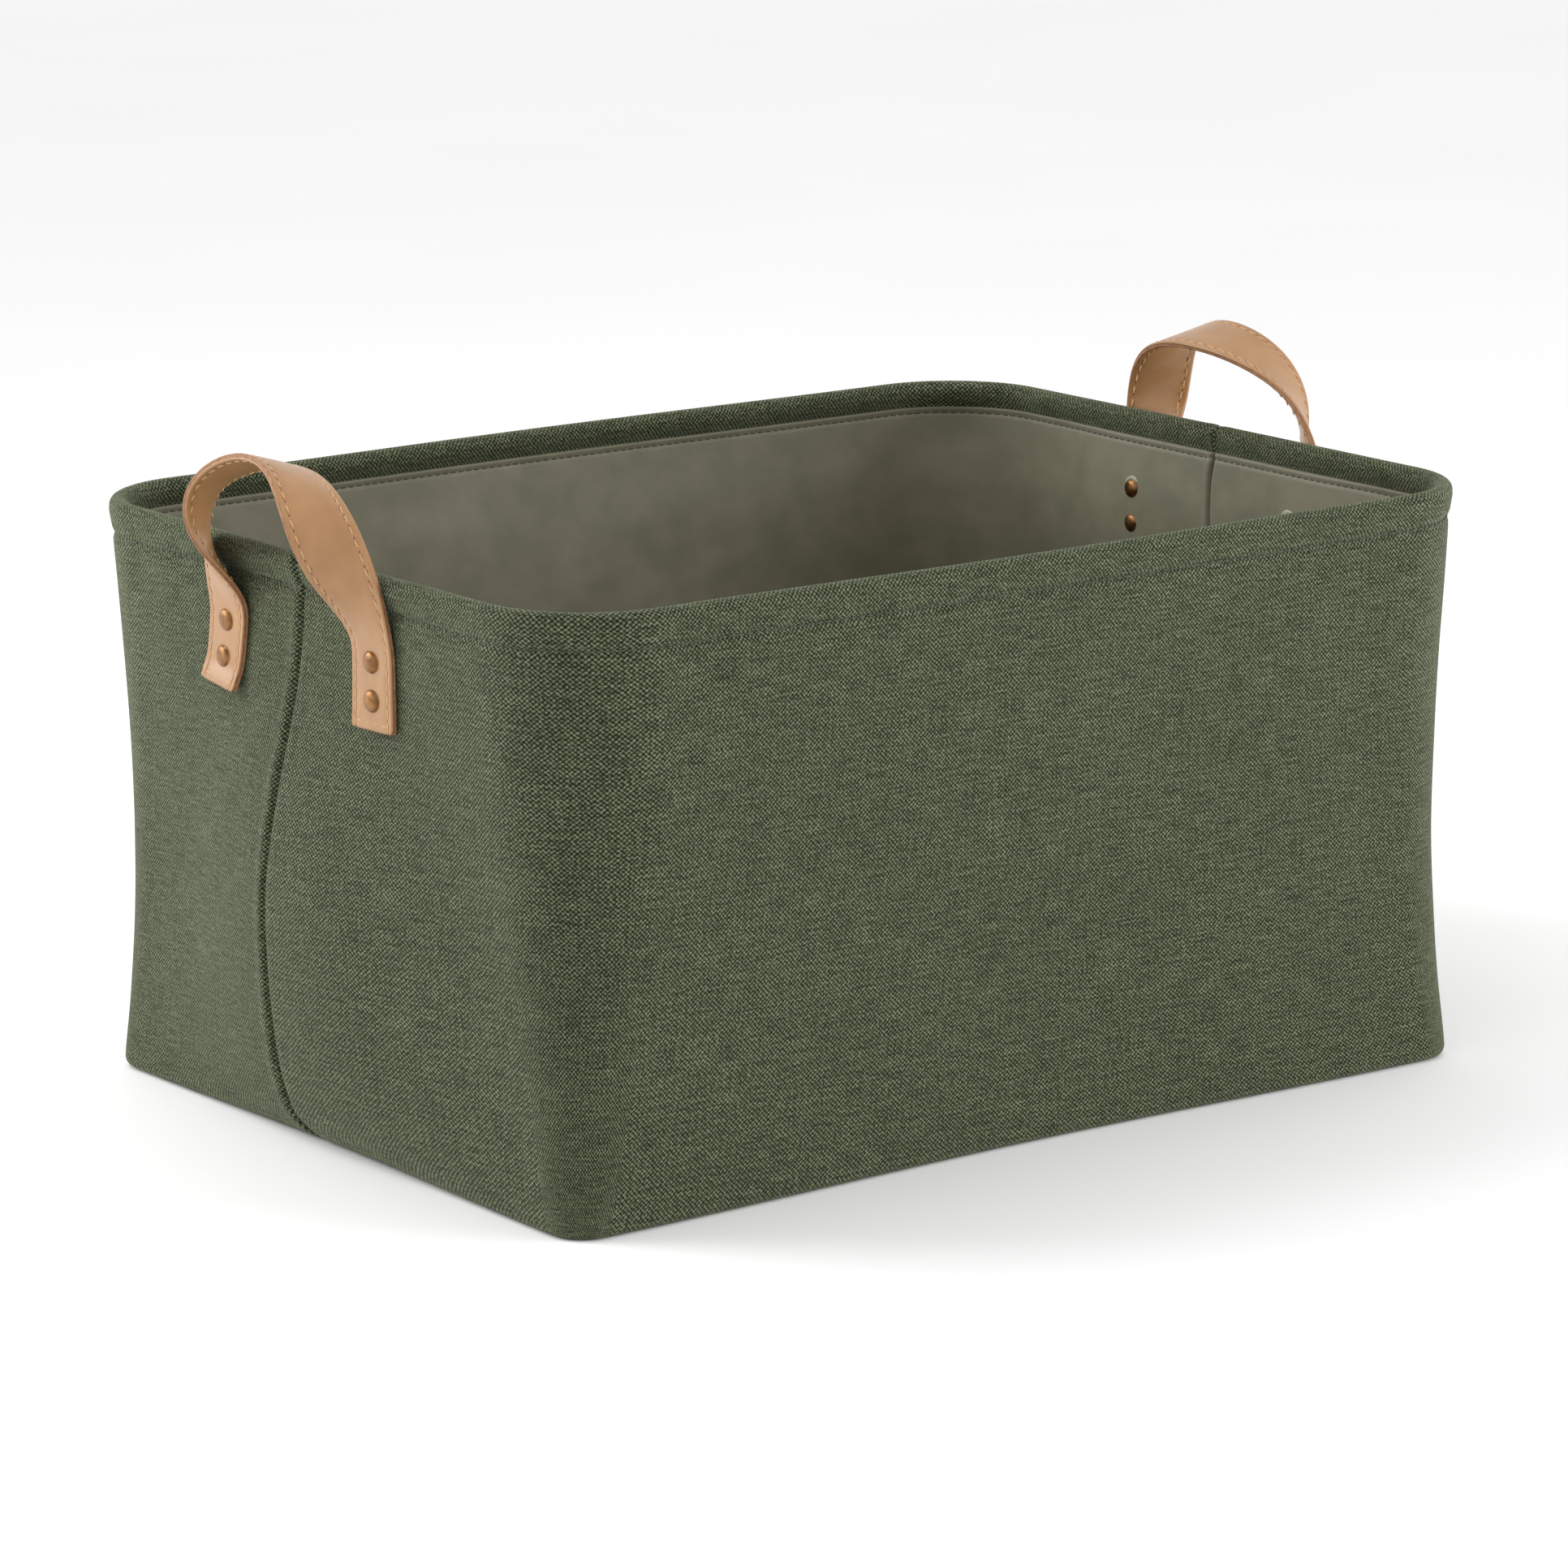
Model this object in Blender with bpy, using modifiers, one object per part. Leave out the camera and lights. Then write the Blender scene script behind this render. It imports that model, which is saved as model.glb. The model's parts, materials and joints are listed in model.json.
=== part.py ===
"""Rectangular fabric storage bin with a wired rim and two riveted strap handles.

Units are metres.  X runs along the long side, Y along the short side, Z is up, and the
origin is on the floor under the middle of the bin.  The near short end faces -X.
"""
import math

import bmesh
import bpy
from mathutils import Matrix, Vector

# ---------------------------------------------------------------- driving dimensions
# Walls.  Lengths and widths are those of the wall fabric's middle surface.
BIN_HEIGHT = 0.240          # floor to the top of the rolled rim
RIM_LENGTH = 0.4610
RIM_WIDTH = 0.3420
RIM_CORNER = 0.046          # corner radius seen from above
RIM_BOW_LONG = 0.0035       # how far the middle of a long side stands out
RIM_BOW_SHORT = 0.0010
BASE_LENGTH = 0.4460
BASE_WIDTH = 0.3315
BASE_CORNER = 0.0155
BASE_BOW_LONG = -0.0052     # the base edges curve in a little
BASE_BOW_SHORT = -0.0048
FOLD_PINCH = 0.0022         # walls draw in at the half-height storage crease
FOLD_CORNER = 0.008         # extra corner radius there
END_BELLY = 0.0130          # the seamed short ends belly out below the crease
BELLY_HEIGHT = 0.38         # height of that belly, as a share of the wall

# Fabrics and boards
OUTER_CLOTH = 0.0013
LINING_CLOTH = 0.0008
BOARD = 0.0020
GAP = 0.0003                # air between touching pieces

# Rolled hem over the wire hoop
WIRE_RADIUS = 0.0016
FERRULE_WALL = 0.0006
FERRULE_LENGTH = 0.022
HOOP_END_GAP = 0.0010
ROLL_SLACK = 0.0004         # room between the ferrule and the cloth round it
HEM_BLEND = 0.0075          # height over which the cloth swings out to the roll
HEM_RETURN = 0.0185         # raw edge inside, below the rim's top
LINING_TOP = 0.0116         # folded top edge of the lining, below the rim's top
BOTTOM_ROUND = 0.0042       # radius of the turned bottom edge
BOTTOM_TURN = 0.0012        # flat seam allowance under the base
BOARD_INSET = 0.0038        # board edge, in from the wall

# Straps and rivets
STRAP_WIDTH = 0.026
STRAP_THICKNESS = 0.0026
TAB_GAP = 0.0006            # between a tab's back and the curved wall
HANDLE_SPREAD = 0.102       # between the middles of a handle's two tabs
TAB_END_DROP = 0.0608       # lower end of a tab, below the rim's top
BEND_DROP = 0.0290          # bend line above the upper rivet, below the rim's top
BEND_CLEARANCE = 0.0011     # the loop starts this far above its tabs
LOOP_RISE = 0.0640          # height of the loop's middle line over the bend line
LOOP_CLEARANCE = 0.0003     # between the turning strap's edge and the rolled rim
LOOP_LEAN = 0.0105          # how far the left loop's top stands out past its tabs
RIGHT_LOOP_LEAN = 0.0050    # the right loop stands more upright
RIGHT_LOOP_SKEW = 0.0150    # and its top is pushed this far towards the back
LOOP_SWELL = 0.29           # widening of the loop above its feet, as a share
LOOP_TILT = 0.30            # radians that the strap turns past level at the top
LOOP_TWIST = 1.4            # power of the height: above 1 the twist gathers pace
RIVET_DROP = 0.0341         # upper rivet, below the rim's top
RIVET_PITCH = 0.0152
RIVET_CAP_RADIUS = 0.0045
RIVET_CAP_HEIGHT = 0.0018
RIVET_CAP_EDGE = 0.3        # upright edge of a cap, as a share of its height
SOCKET_DEPTH = 0.0009       # how far a post reaches up into its cap
POST_RADIUS = 0.0014
POST_CLEARANCE = 0.00035
WASHER_RADIUS = 0.0056
WASHER_THICKNESS = 0.0008
BORE_REACH = 0.011          # a bore cutter's reach to each side of the wall

# Mesh fineness
STEPS_END = 4
STEPS_CORNER = 5
STEPS_LONG = 8
STEPS_WALL = 7
STEPS_SWING = 3
STEPS_ROLL = 6
STEPS_STRAP = 4
STEPS_TAB = 5
STEPS_LOOP = 36
STEPS_DOME = 3
STEPS_ROUND = 12

# ---------------------------------------------------------------- derived dimensions
FERRULE_BORE = WIRE_RADIUS + GAP
FERRULE_RADIUS = FERRULE_BORE + FERRULE_WALL
ROLL_RADIUS = FERRULE_RADIUS + ROLL_SLACK + OUTER_CLOTH / 2
ROLL_Z = BIN_HEIGHT - ROLL_RADIUS - OUTER_CLOTH / 2
RETURN_OFFSET = -(OUTER_CLOTH + GAP)
ROLL_OFFSET = RETURN_OFFSET / 2
LINING_OFFSET = RETURN_OFFSET - OUTER_CLOTH / 2 - GAP - LINING_CLOTH / 2
TAB_OFFSET = OUTER_CLOTH / 2 + TAB_GAP + STRAP_THICKNESS / 2
BORE_RADIUS = POST_RADIUS + POST_CLEARANCE
BOARD_FLOOR = OUTER_CLOTH + GAP
LINING_FLOOR = BOARD_FLOOR + BOARD + GAP
RIVET_HEIGHTS = (BIN_HEIGHT - RIVET_DROP, BIN_HEIGHT - RIVET_DROP - RIVET_PITCH)
BEND_Z = BIN_HEIGHT - BEND_DROP
HOOP_LEAD = (FERRULE_LENGTH + HOOP_END_GAP) / 2 + 0.004     # straight wire in and near the ferrule

ENDS = (("left", -1), ("right", 1))
SIDES = (("front", -1), ("back", 1))
RIVET_ROWS = ("upper", "lower")


# ---------------------------------------------------------------- scene and helpers
def clear_scene():
    for obj in list(bpy.data.objects):
        bpy.data.objects.remove(obj, do_unlink=True)


def new_collection(name):
    collection = bpy.data.collections.new(name)
    bpy.context.scene.collection.children.link(collection)
    return collection


def make_material(name, colour, roughness, metallic=0.0):
    material = bpy.data.materials.new(name)
    material.use_nodes = True
    shader = material.node_tree.nodes["Principled BSDF"]
    shader.inputs["Base Color"].default_value = (*colour, 1.0)
    shader.inputs["Roughness"].default_value = roughness
    shader.inputs["Metallic"].default_value = metallic
    material.diffuse_color = (*colour, 1.0)
    return material


def add_object(name, mesh, material, collection):
    obj = bpy.data.objects.new(name, mesh)
    mesh.materials.append(material)
    collection.objects.link(obj)
    return obj


def shade_round(obj, angle=40):
    obj.data.shade_smooth()
    obj.data.set_sharp_from_angle(angle=math.radians(angle))


def smoothstep(t):
    t = min(max(t, 0.0), 1.0)
    return t * t * (3 - 2 * t)


def mapped_grid(name, columns, rows, place):
    """A grid whose vertices go where place(column, row) says."""
    bm = bmesh.new()
    bmesh.ops.create_grid(bm, x_segments=columns, y_segments=rows, size=0.5)
    for vert in bm.verts:
        column = round((vert.co.x + 0.5) * columns)
        row = round((vert.co.y + 0.5) * rows)
        vert.co = place(column, row)
    mesh = bpy.data.meshes.new(name)
    bm.to_mesh(mesh)
    bm.free()
    return mesh


def solidify(obj, thickness):
    modifier = obj.modifiers.new("thickness", "SOLIDIFY")
    modifier.thickness = thickness
    modifier.offset = 0.0
    modifier.use_even_offset = True


def cut_bores(obj, cutters):
    modifier = obj.modifiers.new("rivet bores", "BOOLEAN")
    modifier.operation = "DIFFERENCE"
    modifier.solver = "EXACT"
    modifier.operand_type = "COLLECTION"
    modifier.collection = cutters


# ---------------------------------------------------------------- the wall's shape
class Section:
    """The wall's outline at one height: a rounded rectangle with bowed sides."""

    def __init__(self, z):
        t = min(max(z / BIN_HEIGHT, 0.0), 1.0)
        crease = 4 * t * (1 - t)
        belly = smoothstep(t / BELLY_HEIGHT) * smoothstep((1 - t) / (1 - BELLY_HEIGHT))
        self.half_length = (BASE_LENGTH + (RIM_LENGTH - BASE_LENGTH) * t) / 2
        self.half_width = (BASE_WIDTH + (RIM_WIDTH - BASE_WIDTH) * t) / 2
        self.half_length -= FOLD_PINCH * crease
        self.half_width -= FOLD_PINCH * crease
        self.corner = BASE_CORNER + (RIM_CORNER - BASE_CORNER) * t + FOLD_CORNER * crease
        self.bow_long = BASE_BOW_LONG + (RIM_BOW_LONG - BASE_BOW_LONG) * t
        self.bow_short = BASE_BOW_SHORT + (RIM_BOW_SHORT - BASE_BOW_SHORT) * t
        self.bow_short += END_BELLY * belly

    def end_point(self, y, offset):
        """Point (x, y) on the flat of the +X end, at a distance out from the wall."""
        flat = self.half_width - self.corner
        bow = self.bow_short * math.cos(math.pi / 2 * y / flat) ** 2
        return self.half_length + bow + offset, y

    def side_point(self, x, offset):
        """Point (x, y) on the flat of the -Y side."""
        flat = self.half_length - self.corner
        bow = self.bow_long * math.cos(math.pi / 2 * x / flat) ** 2
        return x, -(self.half_width + bow + offset)

    def half_outline(self, offset, seam_gap=GAP):
        """Points from the seam on the -X end, round the front, to the +X seam."""
        points = []
        flat = self.half_width - self.corner
        for i in range(STEPS_END):
            y = -seam_gap / 2 - (flat - seam_gap / 2) * i / STEPS_END
            x, y = self.end_point(y, offset)
            points.append((-x, y))
        centre_x = self.half_length - self.corner
        centre_y = self.half_width - self.corner
        radius = self.corner + offset
        for i in range(STEPS_CORNER):
            angle = math.pi / 2 * i / STEPS_CORNER
            points.append((-centre_x - radius * math.cos(angle), -centre_y - radius * math.sin(angle)))
        half = STEPS_LONG // 2
        for i in range(half + 1):
            points.append(self.side_point(-centre_x * (1 - i / half), offset))
        points += [(-x, y) for x, y in reversed(points[:-1])]
        return points

    def outline(self, offset):
        """The whole closed outline, starting at the middle of the -X end."""
        front = self.half_outline(offset, seam_gap=0.0)
        return front[:-1] + [(x, -y) for x, y in reversed(front[1:])]


def wall_sheet(name, profile, side):
    """Half a wall: a profile of (offset, height) points swept round one side."""
    rings = [Section(z).half_outline(offset) for offset, z in profile]

    def place(column, row):
        x, y = rings[row][column]
        return Vector((x, y * -side, profile[row][1]))

    mesh = mapped_grid(name, len(rings[0]) - 1, len(rings) - 1, place)
    if side > 0:
        mesh.flip_normals()
    return mesh


def wall_panel(name, profile, side, thickness, material, collection, cutters):
    """One of the two halves of a wall, with the bores for its rivets."""
    obj = add_object(name, wall_sheet(name, profile, side), material, collection)
    solidify(obj, thickness)
    cut_bores(obj, cutters)
    shade_round(obj)


def wall_heights(low, high, steps):
    return [low + (high - low) * i / steps for i in range(steps + 1)]


def outer_profile():
    """Turned bottom edge, wall, roll over the hoop and return down the inside."""
    bottom = OUTER_CLOTH / 2
    points = [(-BOTTOM_ROUND - BOTTOM_TURN, bottom)]
    for i in range(STEPS_SWING + 1):
        angle = math.pi / 2 * i / STEPS_SWING
        across = -BOTTOM_ROUND * (1 - math.sin(angle))
        points.append((across, bottom + BOTTOM_ROUND * (1 - math.cos(angle))))
    swing_start = ROLL_Z - HEM_BLEND
    points += [(0.0, z) for z in wall_heights(bottom + BOTTOM_ROUND, swing_start, STEPS_WALL)[1:]]
    outside = ROLL_OFFSET + ROLL_RADIUS
    inside = ROLL_OFFSET - ROLL_RADIUS
    for i in range(1, STEPS_SWING):
        share = i / STEPS_SWING
        points.append((outside * smoothstep(share), swing_start + HEM_BLEND * share))
    for i in range(STEPS_ROLL + 1):
        angle = math.pi * i / STEPS_ROLL
        points.append((ROLL_OFFSET + ROLL_RADIUS * math.cos(angle), ROLL_Z + ROLL_RADIUS * math.sin(angle)))
    for i in range(1, STEPS_SWING + 1):
        share = i / STEPS_SWING
        swing = RETURN_OFFSET + (inside - RETURN_OFFSET) * (1 - smoothstep(share))
        points.append((swing, ROLL_Z - HEM_BLEND * share))
    points.append((RETURN_OFFSET, BIN_HEIGHT - HEM_RETURN))
    return points


def lining_profile():
    low = LINING_FLOOR
    high = BIN_HEIGHT - LINING_TOP
    return [(LINING_OFFSET, z) for z in wall_heights(low, high, STEPS_WALL)]


def base_sheet(name, inset, low, thickness, material, collection):
    """A flat sheet that follows the base outline, inset from the wall."""
    outline = Section(low).outline(-inset)
    curve = bpy.data.curves.new(name, "CURVE")
    curve.dimensions = "2D"
    curve.fill_mode = "BOTH"
    curve.extrude = thickness / 2
    spline = curve.splines.new("POLY")
    spline.points.add(len(outline) - 1)
    for point, (x, y) in zip(spline.points, outline):
        point.co = (x, y, 0.0, 1.0)
    spline.use_cyclic_u = True
    curve.materials.append(material)
    obj = bpy.data.objects.new(name, curve)
    obj.location.z = low + thickness / 2
    collection.objects.link(obj)
    return obj


# ---------------------------------------------------------------- hoop and ferrule
def hoop_route():
    """The wire's middle line: open at the middle of the back side, inside the ferrule."""
    loop = Section(ROLL_Z).outline(ROLL_OFFSET)
    middle = 3 * len(loop) // 4
    y = loop[middle][1]
    around = loop[middle + 1:] + loop[:middle]
    start = [(-HOOP_END_GAP / 2, y), (-HOOP_LEAD, y)]
    end = [(HOOP_LEAD, y), (HOOP_END_GAP / 2, y)]
    return start + around + end


def rim_hoop(material, collection):
    route = hoop_route()
    curve = bpy.data.curves.new("rim_hoop", "CURVE")
    curve.dimensions = "3D"
    curve.bevel_depth = WIRE_RADIUS
    curve.bevel_resolution = 2
    curve.use_fill_caps = True
    spline = curve.splines.new("POLY")
    spline.points.add(len(route) - 1)
    for point, (x, y) in zip(spline.points, route):
        point.co = (x, y, ROLL_Z, 1.0)
    curve.materials.append(material)
    obj = bpy.data.objects.new("rim_hoop", curve)
    collection.objects.link(obj)


def turned(name, profile, material, collection, steps=STEPS_ROUND):
    """A profile of (radius, height) points turned about its own Z axis."""
    mesh = bpy.data.meshes.new(name)
    verts = [(radius, 0.0, height) for radius, height in profile]
    edges = [(i, i + 1) for i in range(len(verts) - 1)]
    if profile[0][0] > 0:
        edges.append((len(verts) - 1, 0))
    mesh.from_pydata(verts, edges, [])
    obj = add_object(name, mesh, material, collection)
    screw = obj.modifiers.new("turn", "SCREW")
    screw.axis = "Z"
    screw.steps = steps
    screw.render_steps = steps
    screw.use_merge_vertices = True
    screw.merge_threshold = 0.00001
    screw.use_smooth_shade = True
    return obj


def rim_ferrule(material, collection):
    half = FERRULE_LENGTH / 2
    profile = [
        (FERRULE_RADIUS, half),
        (FERRULE_RADIUS, -half),
        (FERRULE_BORE, -half),
        (FERRULE_BORE, half),
    ]
    obj = turned("rim_ferrule", profile, material, collection)
    route = hoop_route()
    obj.rotation_euler = (0.0, math.pi / 2, 0.0)
    obj.location = (0.0, route[0][1], ROLL_Z)


# ---------------------------------------------------------------- straps
def end_frame(y, z, end):
    """Place on an end wall: +Z out of the wall, at the cloth's middle surface."""
    step = 0.001

    def point(py, pz):
        x, _ = Section(pz).end_point(py, 0.0)
        return Vector((end * x, py, pz))

    across = point(y + step, z) - point(y - step, z)
    up = point(y, z + step) - point(y, z - step)
    normal = across.cross(up).normalized() * end
    across = up.cross(normal).normalized()
    up = normal.cross(across)
    matrix = Matrix((across, up, normal)).transposed().to_4x4()
    matrix.translation = point(y, z)
    return matrix


def strap_tab(name, end, side, material, collection, cutters):
    low = BIN_HEIGHT - TAB_END_DROP
    high = BEND_Z - GAP
    middle = side * HANDLE_SPREAD / 2

    def place(column, row):
        y = middle + STRAP_WIDTH * (column / STEPS_STRAP - 0.5)
        z = low + (high - low) * row / STEPS_TAB
        x, y = Section(z).end_point(y, TAB_OFFSET)
        return Vector((end * x, y, z))

    sheet = mapped_grid(name, STEPS_STRAP, STEPS_TAB, place)
    obj = add_object(name, sheet, material, collection)
    if end < 0:
        obj.data.flip_normals()
    solidify(obj, STRAP_THICKNESS)
    cut_bores(obj, cutters)
    shade_round(obj)


def bend_point(end):
    """Middle of the strap where the loop bends away from its tab."""
    x, _ = Section(BEND_Z).end_point(HANDLE_SPREAD / 2, TAB_OFFSET)
    return Vector((end * x, 0.0, BEND_Z))


def hinge_point(end):
    """The bend line, on the strap's outer face."""
    return bend_point(end) + Vector((end * (STRAP_THICKNESS / 2 + GAP), 0.0, 0.0))


def twist(rise):
    """Angle that the strap has turned by at a share of the loop's height."""
    return rise ** LOOP_TWIST * (math.pi / 2 + LOOP_TILT)


def loop_pose(end):
    """(lean, skew) of one handle's loop."""
    return (LOOP_LEAN, 0.0) if end < 0 else (RIGHT_LOOP_LEAN, RIGHT_LOOP_SKEW)


def loop_kick(lean):
    """How far the legs bulge out, so that the turning strap clears the wall and the rolled rim."""
    kicks = []
    for z, offset in ((ROLL_Z - HEM_BLEND, 0.0), (ROLL_Z, ROLL_OFFSET + ROLL_RADIUS)):
        rise = (z - BEND_Z - BEND_CLEARANCE) / LOOP_RISE
        face, _ = Section(z).end_point(HANDLE_SPREAD / 2, offset + OUTER_CLOTH / 2)
        edge = (STRAP_WIDTH * math.sin(twist(rise)) + STRAP_THICKNESS * math.cos(twist(rise))) / 2
        out = face - bend_point(1).x + edge + LOOP_CLEARANCE
        kicks.append((out - lean * smoothstep(rise)) / (rise * (1 - rise ** 3)))
    return max(kicks)


def loop_frame(t, end, kick):
    """Centre and width direction of the loop, t from 0 (front foot) to pi (back)."""
    lean, skew = loop_pose(end)

    def centre(t):
        rise = math.sin(t)
        y = -HANDLE_SPREAD / 2 * math.cos(t) * (1 + LOOP_SWELL * rise * rise) + skew * smoothstep(rise)
        out = kick * rise * (1 - rise ** 3) + lean * smoothstep(rise)
        start = bend_point(end)
        return Vector((start.x + end * out, y, start.z + BEND_CLEARANCE + LOOP_RISE * rise))

    step = 0.002
    tangent = (centre(t + step) - centre(t - step)).normalized()
    flat = tangent.cross(Vector((1.0, 0.0, 0.0))).normalized()
    outward = Vector((end, 0.0, 0.0))
    outward = (outward - tangent * outward.dot(tangent)).normalized()
    turn = twist(math.sin(t))
    return centre(t), flat * math.cos(turn) + outward * math.sin(turn)


def strap_loop(name, end, material, collection):
    hinge = hinge_point(end)
    kick = loop_kick(loop_pose(end)[0])

    def place(column, row):
        centre, across = loop_frame(math.pi * row / STEPS_LOOP, end, kick)
        return centre + across * STRAP_WIDTH * (column / STEPS_STRAP - 0.5) - hinge

    sheet = mapped_grid(name, STEPS_STRAP, STEPS_LOOP, place)
    obj = add_object(name, sheet, material, collection)
    obj.location = hinge
    solidify(obj, STRAP_THICKNESS)
    shade_round(obj)


# ---------------------------------------------------------------- rivets
def domed(radius, height):
    """Profile of a domed cap, from the crown outwards to the top of its upright edge."""
    points = []
    for i in range(STEPS_DOME + 1):
        angle = math.pi / 2 * i / STEPS_DOME
        crown = RIVET_CAP_EDGE + (1 - RIVET_CAP_EDGE) * math.cos(angle)
        points.append((radius * math.sin(angle), height * crown))
    return points


def rivet_pieces(label, frame, materials, collection, cutters):
    metal, clear = materials
    profile = [(0.0, BORE_REACH), (BORE_RADIUS, BORE_REACH), (BORE_RADIUS, -BORE_REACH), (0.0, -BORE_REACH)]
    bore = turned("bore_" + label, profile, metal, cutters)
    bore.matrix_world = frame
    bore.hide_render = True
    bore.display_type = "WIRE"

    seat = TAB_OFFSET + STRAP_THICKNESS / 2 + GAP
    socket = seat + SOCKET_DEPTH
    dome = domed(RIVET_CAP_RADIUS, RIVET_CAP_HEIGHT)
    profile = [(r, seat + h) for r, h in dome]
    profile += [(RIVET_CAP_RADIUS, seat), (BORE_RADIUS, seat), (BORE_RADIUS, socket), (0.0, socket)]
    cap = turned("rivet_cap_" + label, profile, metal, collection)
    cap.matrix_world = frame

    washer_top = LINING_OFFSET - LINING_CLOTH / 2 - GAP
    washer_low = washer_top - WASHER_THICKNESS
    profile = [(WASHER_RADIUS, washer_top), (WASHER_RADIUS, washer_low),
               (BORE_RADIUS, washer_low), (BORE_RADIUS, washer_top)]
    washer = turned("rivet_washer_" + label, profile, clear, collection)
    washer.matrix_world = frame

    inner = washer_low - GAP
    tip = socket - GAP
    profile = [(0.0, tip), (POST_RADIUS, tip), (POST_RADIUS, inner), (RIVET_CAP_RADIUS, inner)]
    profile += [(r, inner - h) for r, h in reversed(dome)]
    post = turned("rivet_post_" + label, profile, metal, collection)
    post.matrix_world = frame


# ---------------------------------------------------------------- the whole bin
def build():
    clear_scene()
    parts = new_collection("fabric_storage_bin")
    cutters = new_collection("rivet_bores")

    cloth = make_material("olive_linen_weave", (0.083, 0.114, 0.058), 0.92)
    lining = make_material("coated_lining", (0.115, 0.109, 0.078), 0.62)
    board = make_material("grey_board", (0.32, 0.29, 0.24), 0.85)
    leather = make_material("tan_leather", (0.434, 0.223, 0.105), 0.48)
    brass = make_material("antique_brass", (0.30, 0.17, 0.075), 0.30, 1.0)
    steel = make_material("hoop_steel", (0.45, 0.46, 0.47), 0.35, 1.0)
    clear = make_material("clear_washer", (0.62, 0.64, 0.58), 0.25)

    for end_name, end in ENDS:
        for side_name, side in SIDES:
            for row_name, height in zip(RIVET_ROWS, RIVET_HEIGHTS):
                label = "_".join((end_name, side_name, row_name))
                frame = end_frame(side * HANDLE_SPREAD / 2, height, end)
                rivet_pieces(label, frame, (brass, clear), parts, cutters)

    for side_name, side in SIDES:
        name = "outer_%s_panel" % side_name
        wall_panel(name, outer_profile(), side, OUTER_CLOTH, cloth, parts, cutters)
        name = "lining_%s_panel" % side_name
        wall_panel(name, lining_profile(), side, LINING_CLOTH, lining, parts, cutters)

    seam_inset = BOTTOM_ROUND + BOTTOM_TURN + GAP
    base_sheet("outer_base_panel", seam_inset, 0.0, OUTER_CLOTH, cloth, parts)
    base_sheet("base_board", BOARD_INSET, BOARD_FLOOR, BOARD, board, parts)
    lining_inset = -LINING_OFFSET + LINING_CLOTH / 2 + GAP
    base_sheet("lining_base_panel", lining_inset, LINING_FLOOR, LINING_CLOTH, lining, parts)

    rim_hoop(steel, parts)
    rim_ferrule(steel, parts)

    for end_name, end in ENDS:
        for side_name, side in SIDES:
            strap_tab("%s_handle_%s_tab" % (end_name, side_name), end, side, leather, parts, cutters)
        strap_loop("%s_handle_loop" % end_name, end, leather, parts)


build()
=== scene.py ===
# %% [markdown]
# # A woven storage bin with riveted strap handles
#
# The real bin is a bag of stiff woven cloth with a thin coated lining inside it. A spring
# wire runs through the rolled rim, a board stiffens the base, and a stitched strap is
# riveted to each short end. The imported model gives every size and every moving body. This
# lesson makes the cloth, leather, thread and metal that belong on that frame, one piece
# at a time, and then sets a floor and lights round the result.

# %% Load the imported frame
import json
import math

import bmesh
import bpy
from mathutils import Matrix, Vector, noise


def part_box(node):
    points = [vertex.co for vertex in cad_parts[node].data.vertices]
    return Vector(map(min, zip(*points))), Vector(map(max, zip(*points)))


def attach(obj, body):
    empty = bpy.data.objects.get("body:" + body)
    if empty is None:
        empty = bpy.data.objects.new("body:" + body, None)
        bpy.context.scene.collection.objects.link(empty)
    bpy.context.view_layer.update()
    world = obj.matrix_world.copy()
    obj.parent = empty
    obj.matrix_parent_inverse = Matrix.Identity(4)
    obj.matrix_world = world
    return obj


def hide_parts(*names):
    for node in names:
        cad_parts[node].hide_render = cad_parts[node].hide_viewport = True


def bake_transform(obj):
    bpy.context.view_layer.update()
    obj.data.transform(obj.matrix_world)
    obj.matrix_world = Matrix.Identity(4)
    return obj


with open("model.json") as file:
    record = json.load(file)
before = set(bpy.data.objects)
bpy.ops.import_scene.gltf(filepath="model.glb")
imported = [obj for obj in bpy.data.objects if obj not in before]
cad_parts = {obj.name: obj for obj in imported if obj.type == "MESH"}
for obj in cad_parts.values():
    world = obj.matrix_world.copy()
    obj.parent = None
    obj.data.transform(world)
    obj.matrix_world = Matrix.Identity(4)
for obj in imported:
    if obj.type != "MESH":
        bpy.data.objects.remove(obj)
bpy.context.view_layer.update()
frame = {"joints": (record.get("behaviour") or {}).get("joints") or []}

MM = 0.001

# %% [markdown]
# ## Camera
#
# A long lens a few metres away keeps the bin's long edges nearly parallel. The camera is
# described by how far round the bin it stands, how high, how far away, and which point it
# looks at. It comes first so that each piece can be judged from the right place as soon
# as it exists.

# %% Place the camera
VIEW_AZIMUTH = math.radians(-36.709)
VIEW_ELEVATION = math.radians(12.941)
VIEW_ROLL = math.radians(-0.253)
VIEW_DISTANCE = 2.7457
VIEW_AIM = Vector((-0.0007, -0.0005, 0.1164))
VIEW_LENS = 154.43


def aim_camera():
    data = bpy.data.cameras.new("studio_camera")
    data.lens = VIEW_LENS
    data.sensor_width = 36.0
    data.clip_end = 60.0
    camera = bpy.data.objects.new("studio_camera", data)
    bpy.context.scene.collection.objects.link(camera)
    level = math.cos(VIEW_ELEVATION)
    sideways, ahead = math.sin(VIEW_AZIMUTH), math.cos(VIEW_AZIMUTH)
    back = Vector((sideways * level, -ahead * level, math.sin(VIEW_ELEVATION)))
    right = Vector((ahead, sideways, 0.0))
    turned = Matrix((right, back.cross(right), back)).transposed()
    camera.matrix_world = (
        Matrix.Translation(VIEW_AIM + back * VIEW_DISTANCE)
        @ turned.to_4x4()
        @ Matrix.Rotation(VIEW_ROLL, 4, "Z")
    )
    bpy.context.scene.camera = camera
    return camera


aim_camera()
print("camera: %.0f mm lens, %.2f m away" % (VIEW_LENS, VIEW_DISTANCE))

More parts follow.
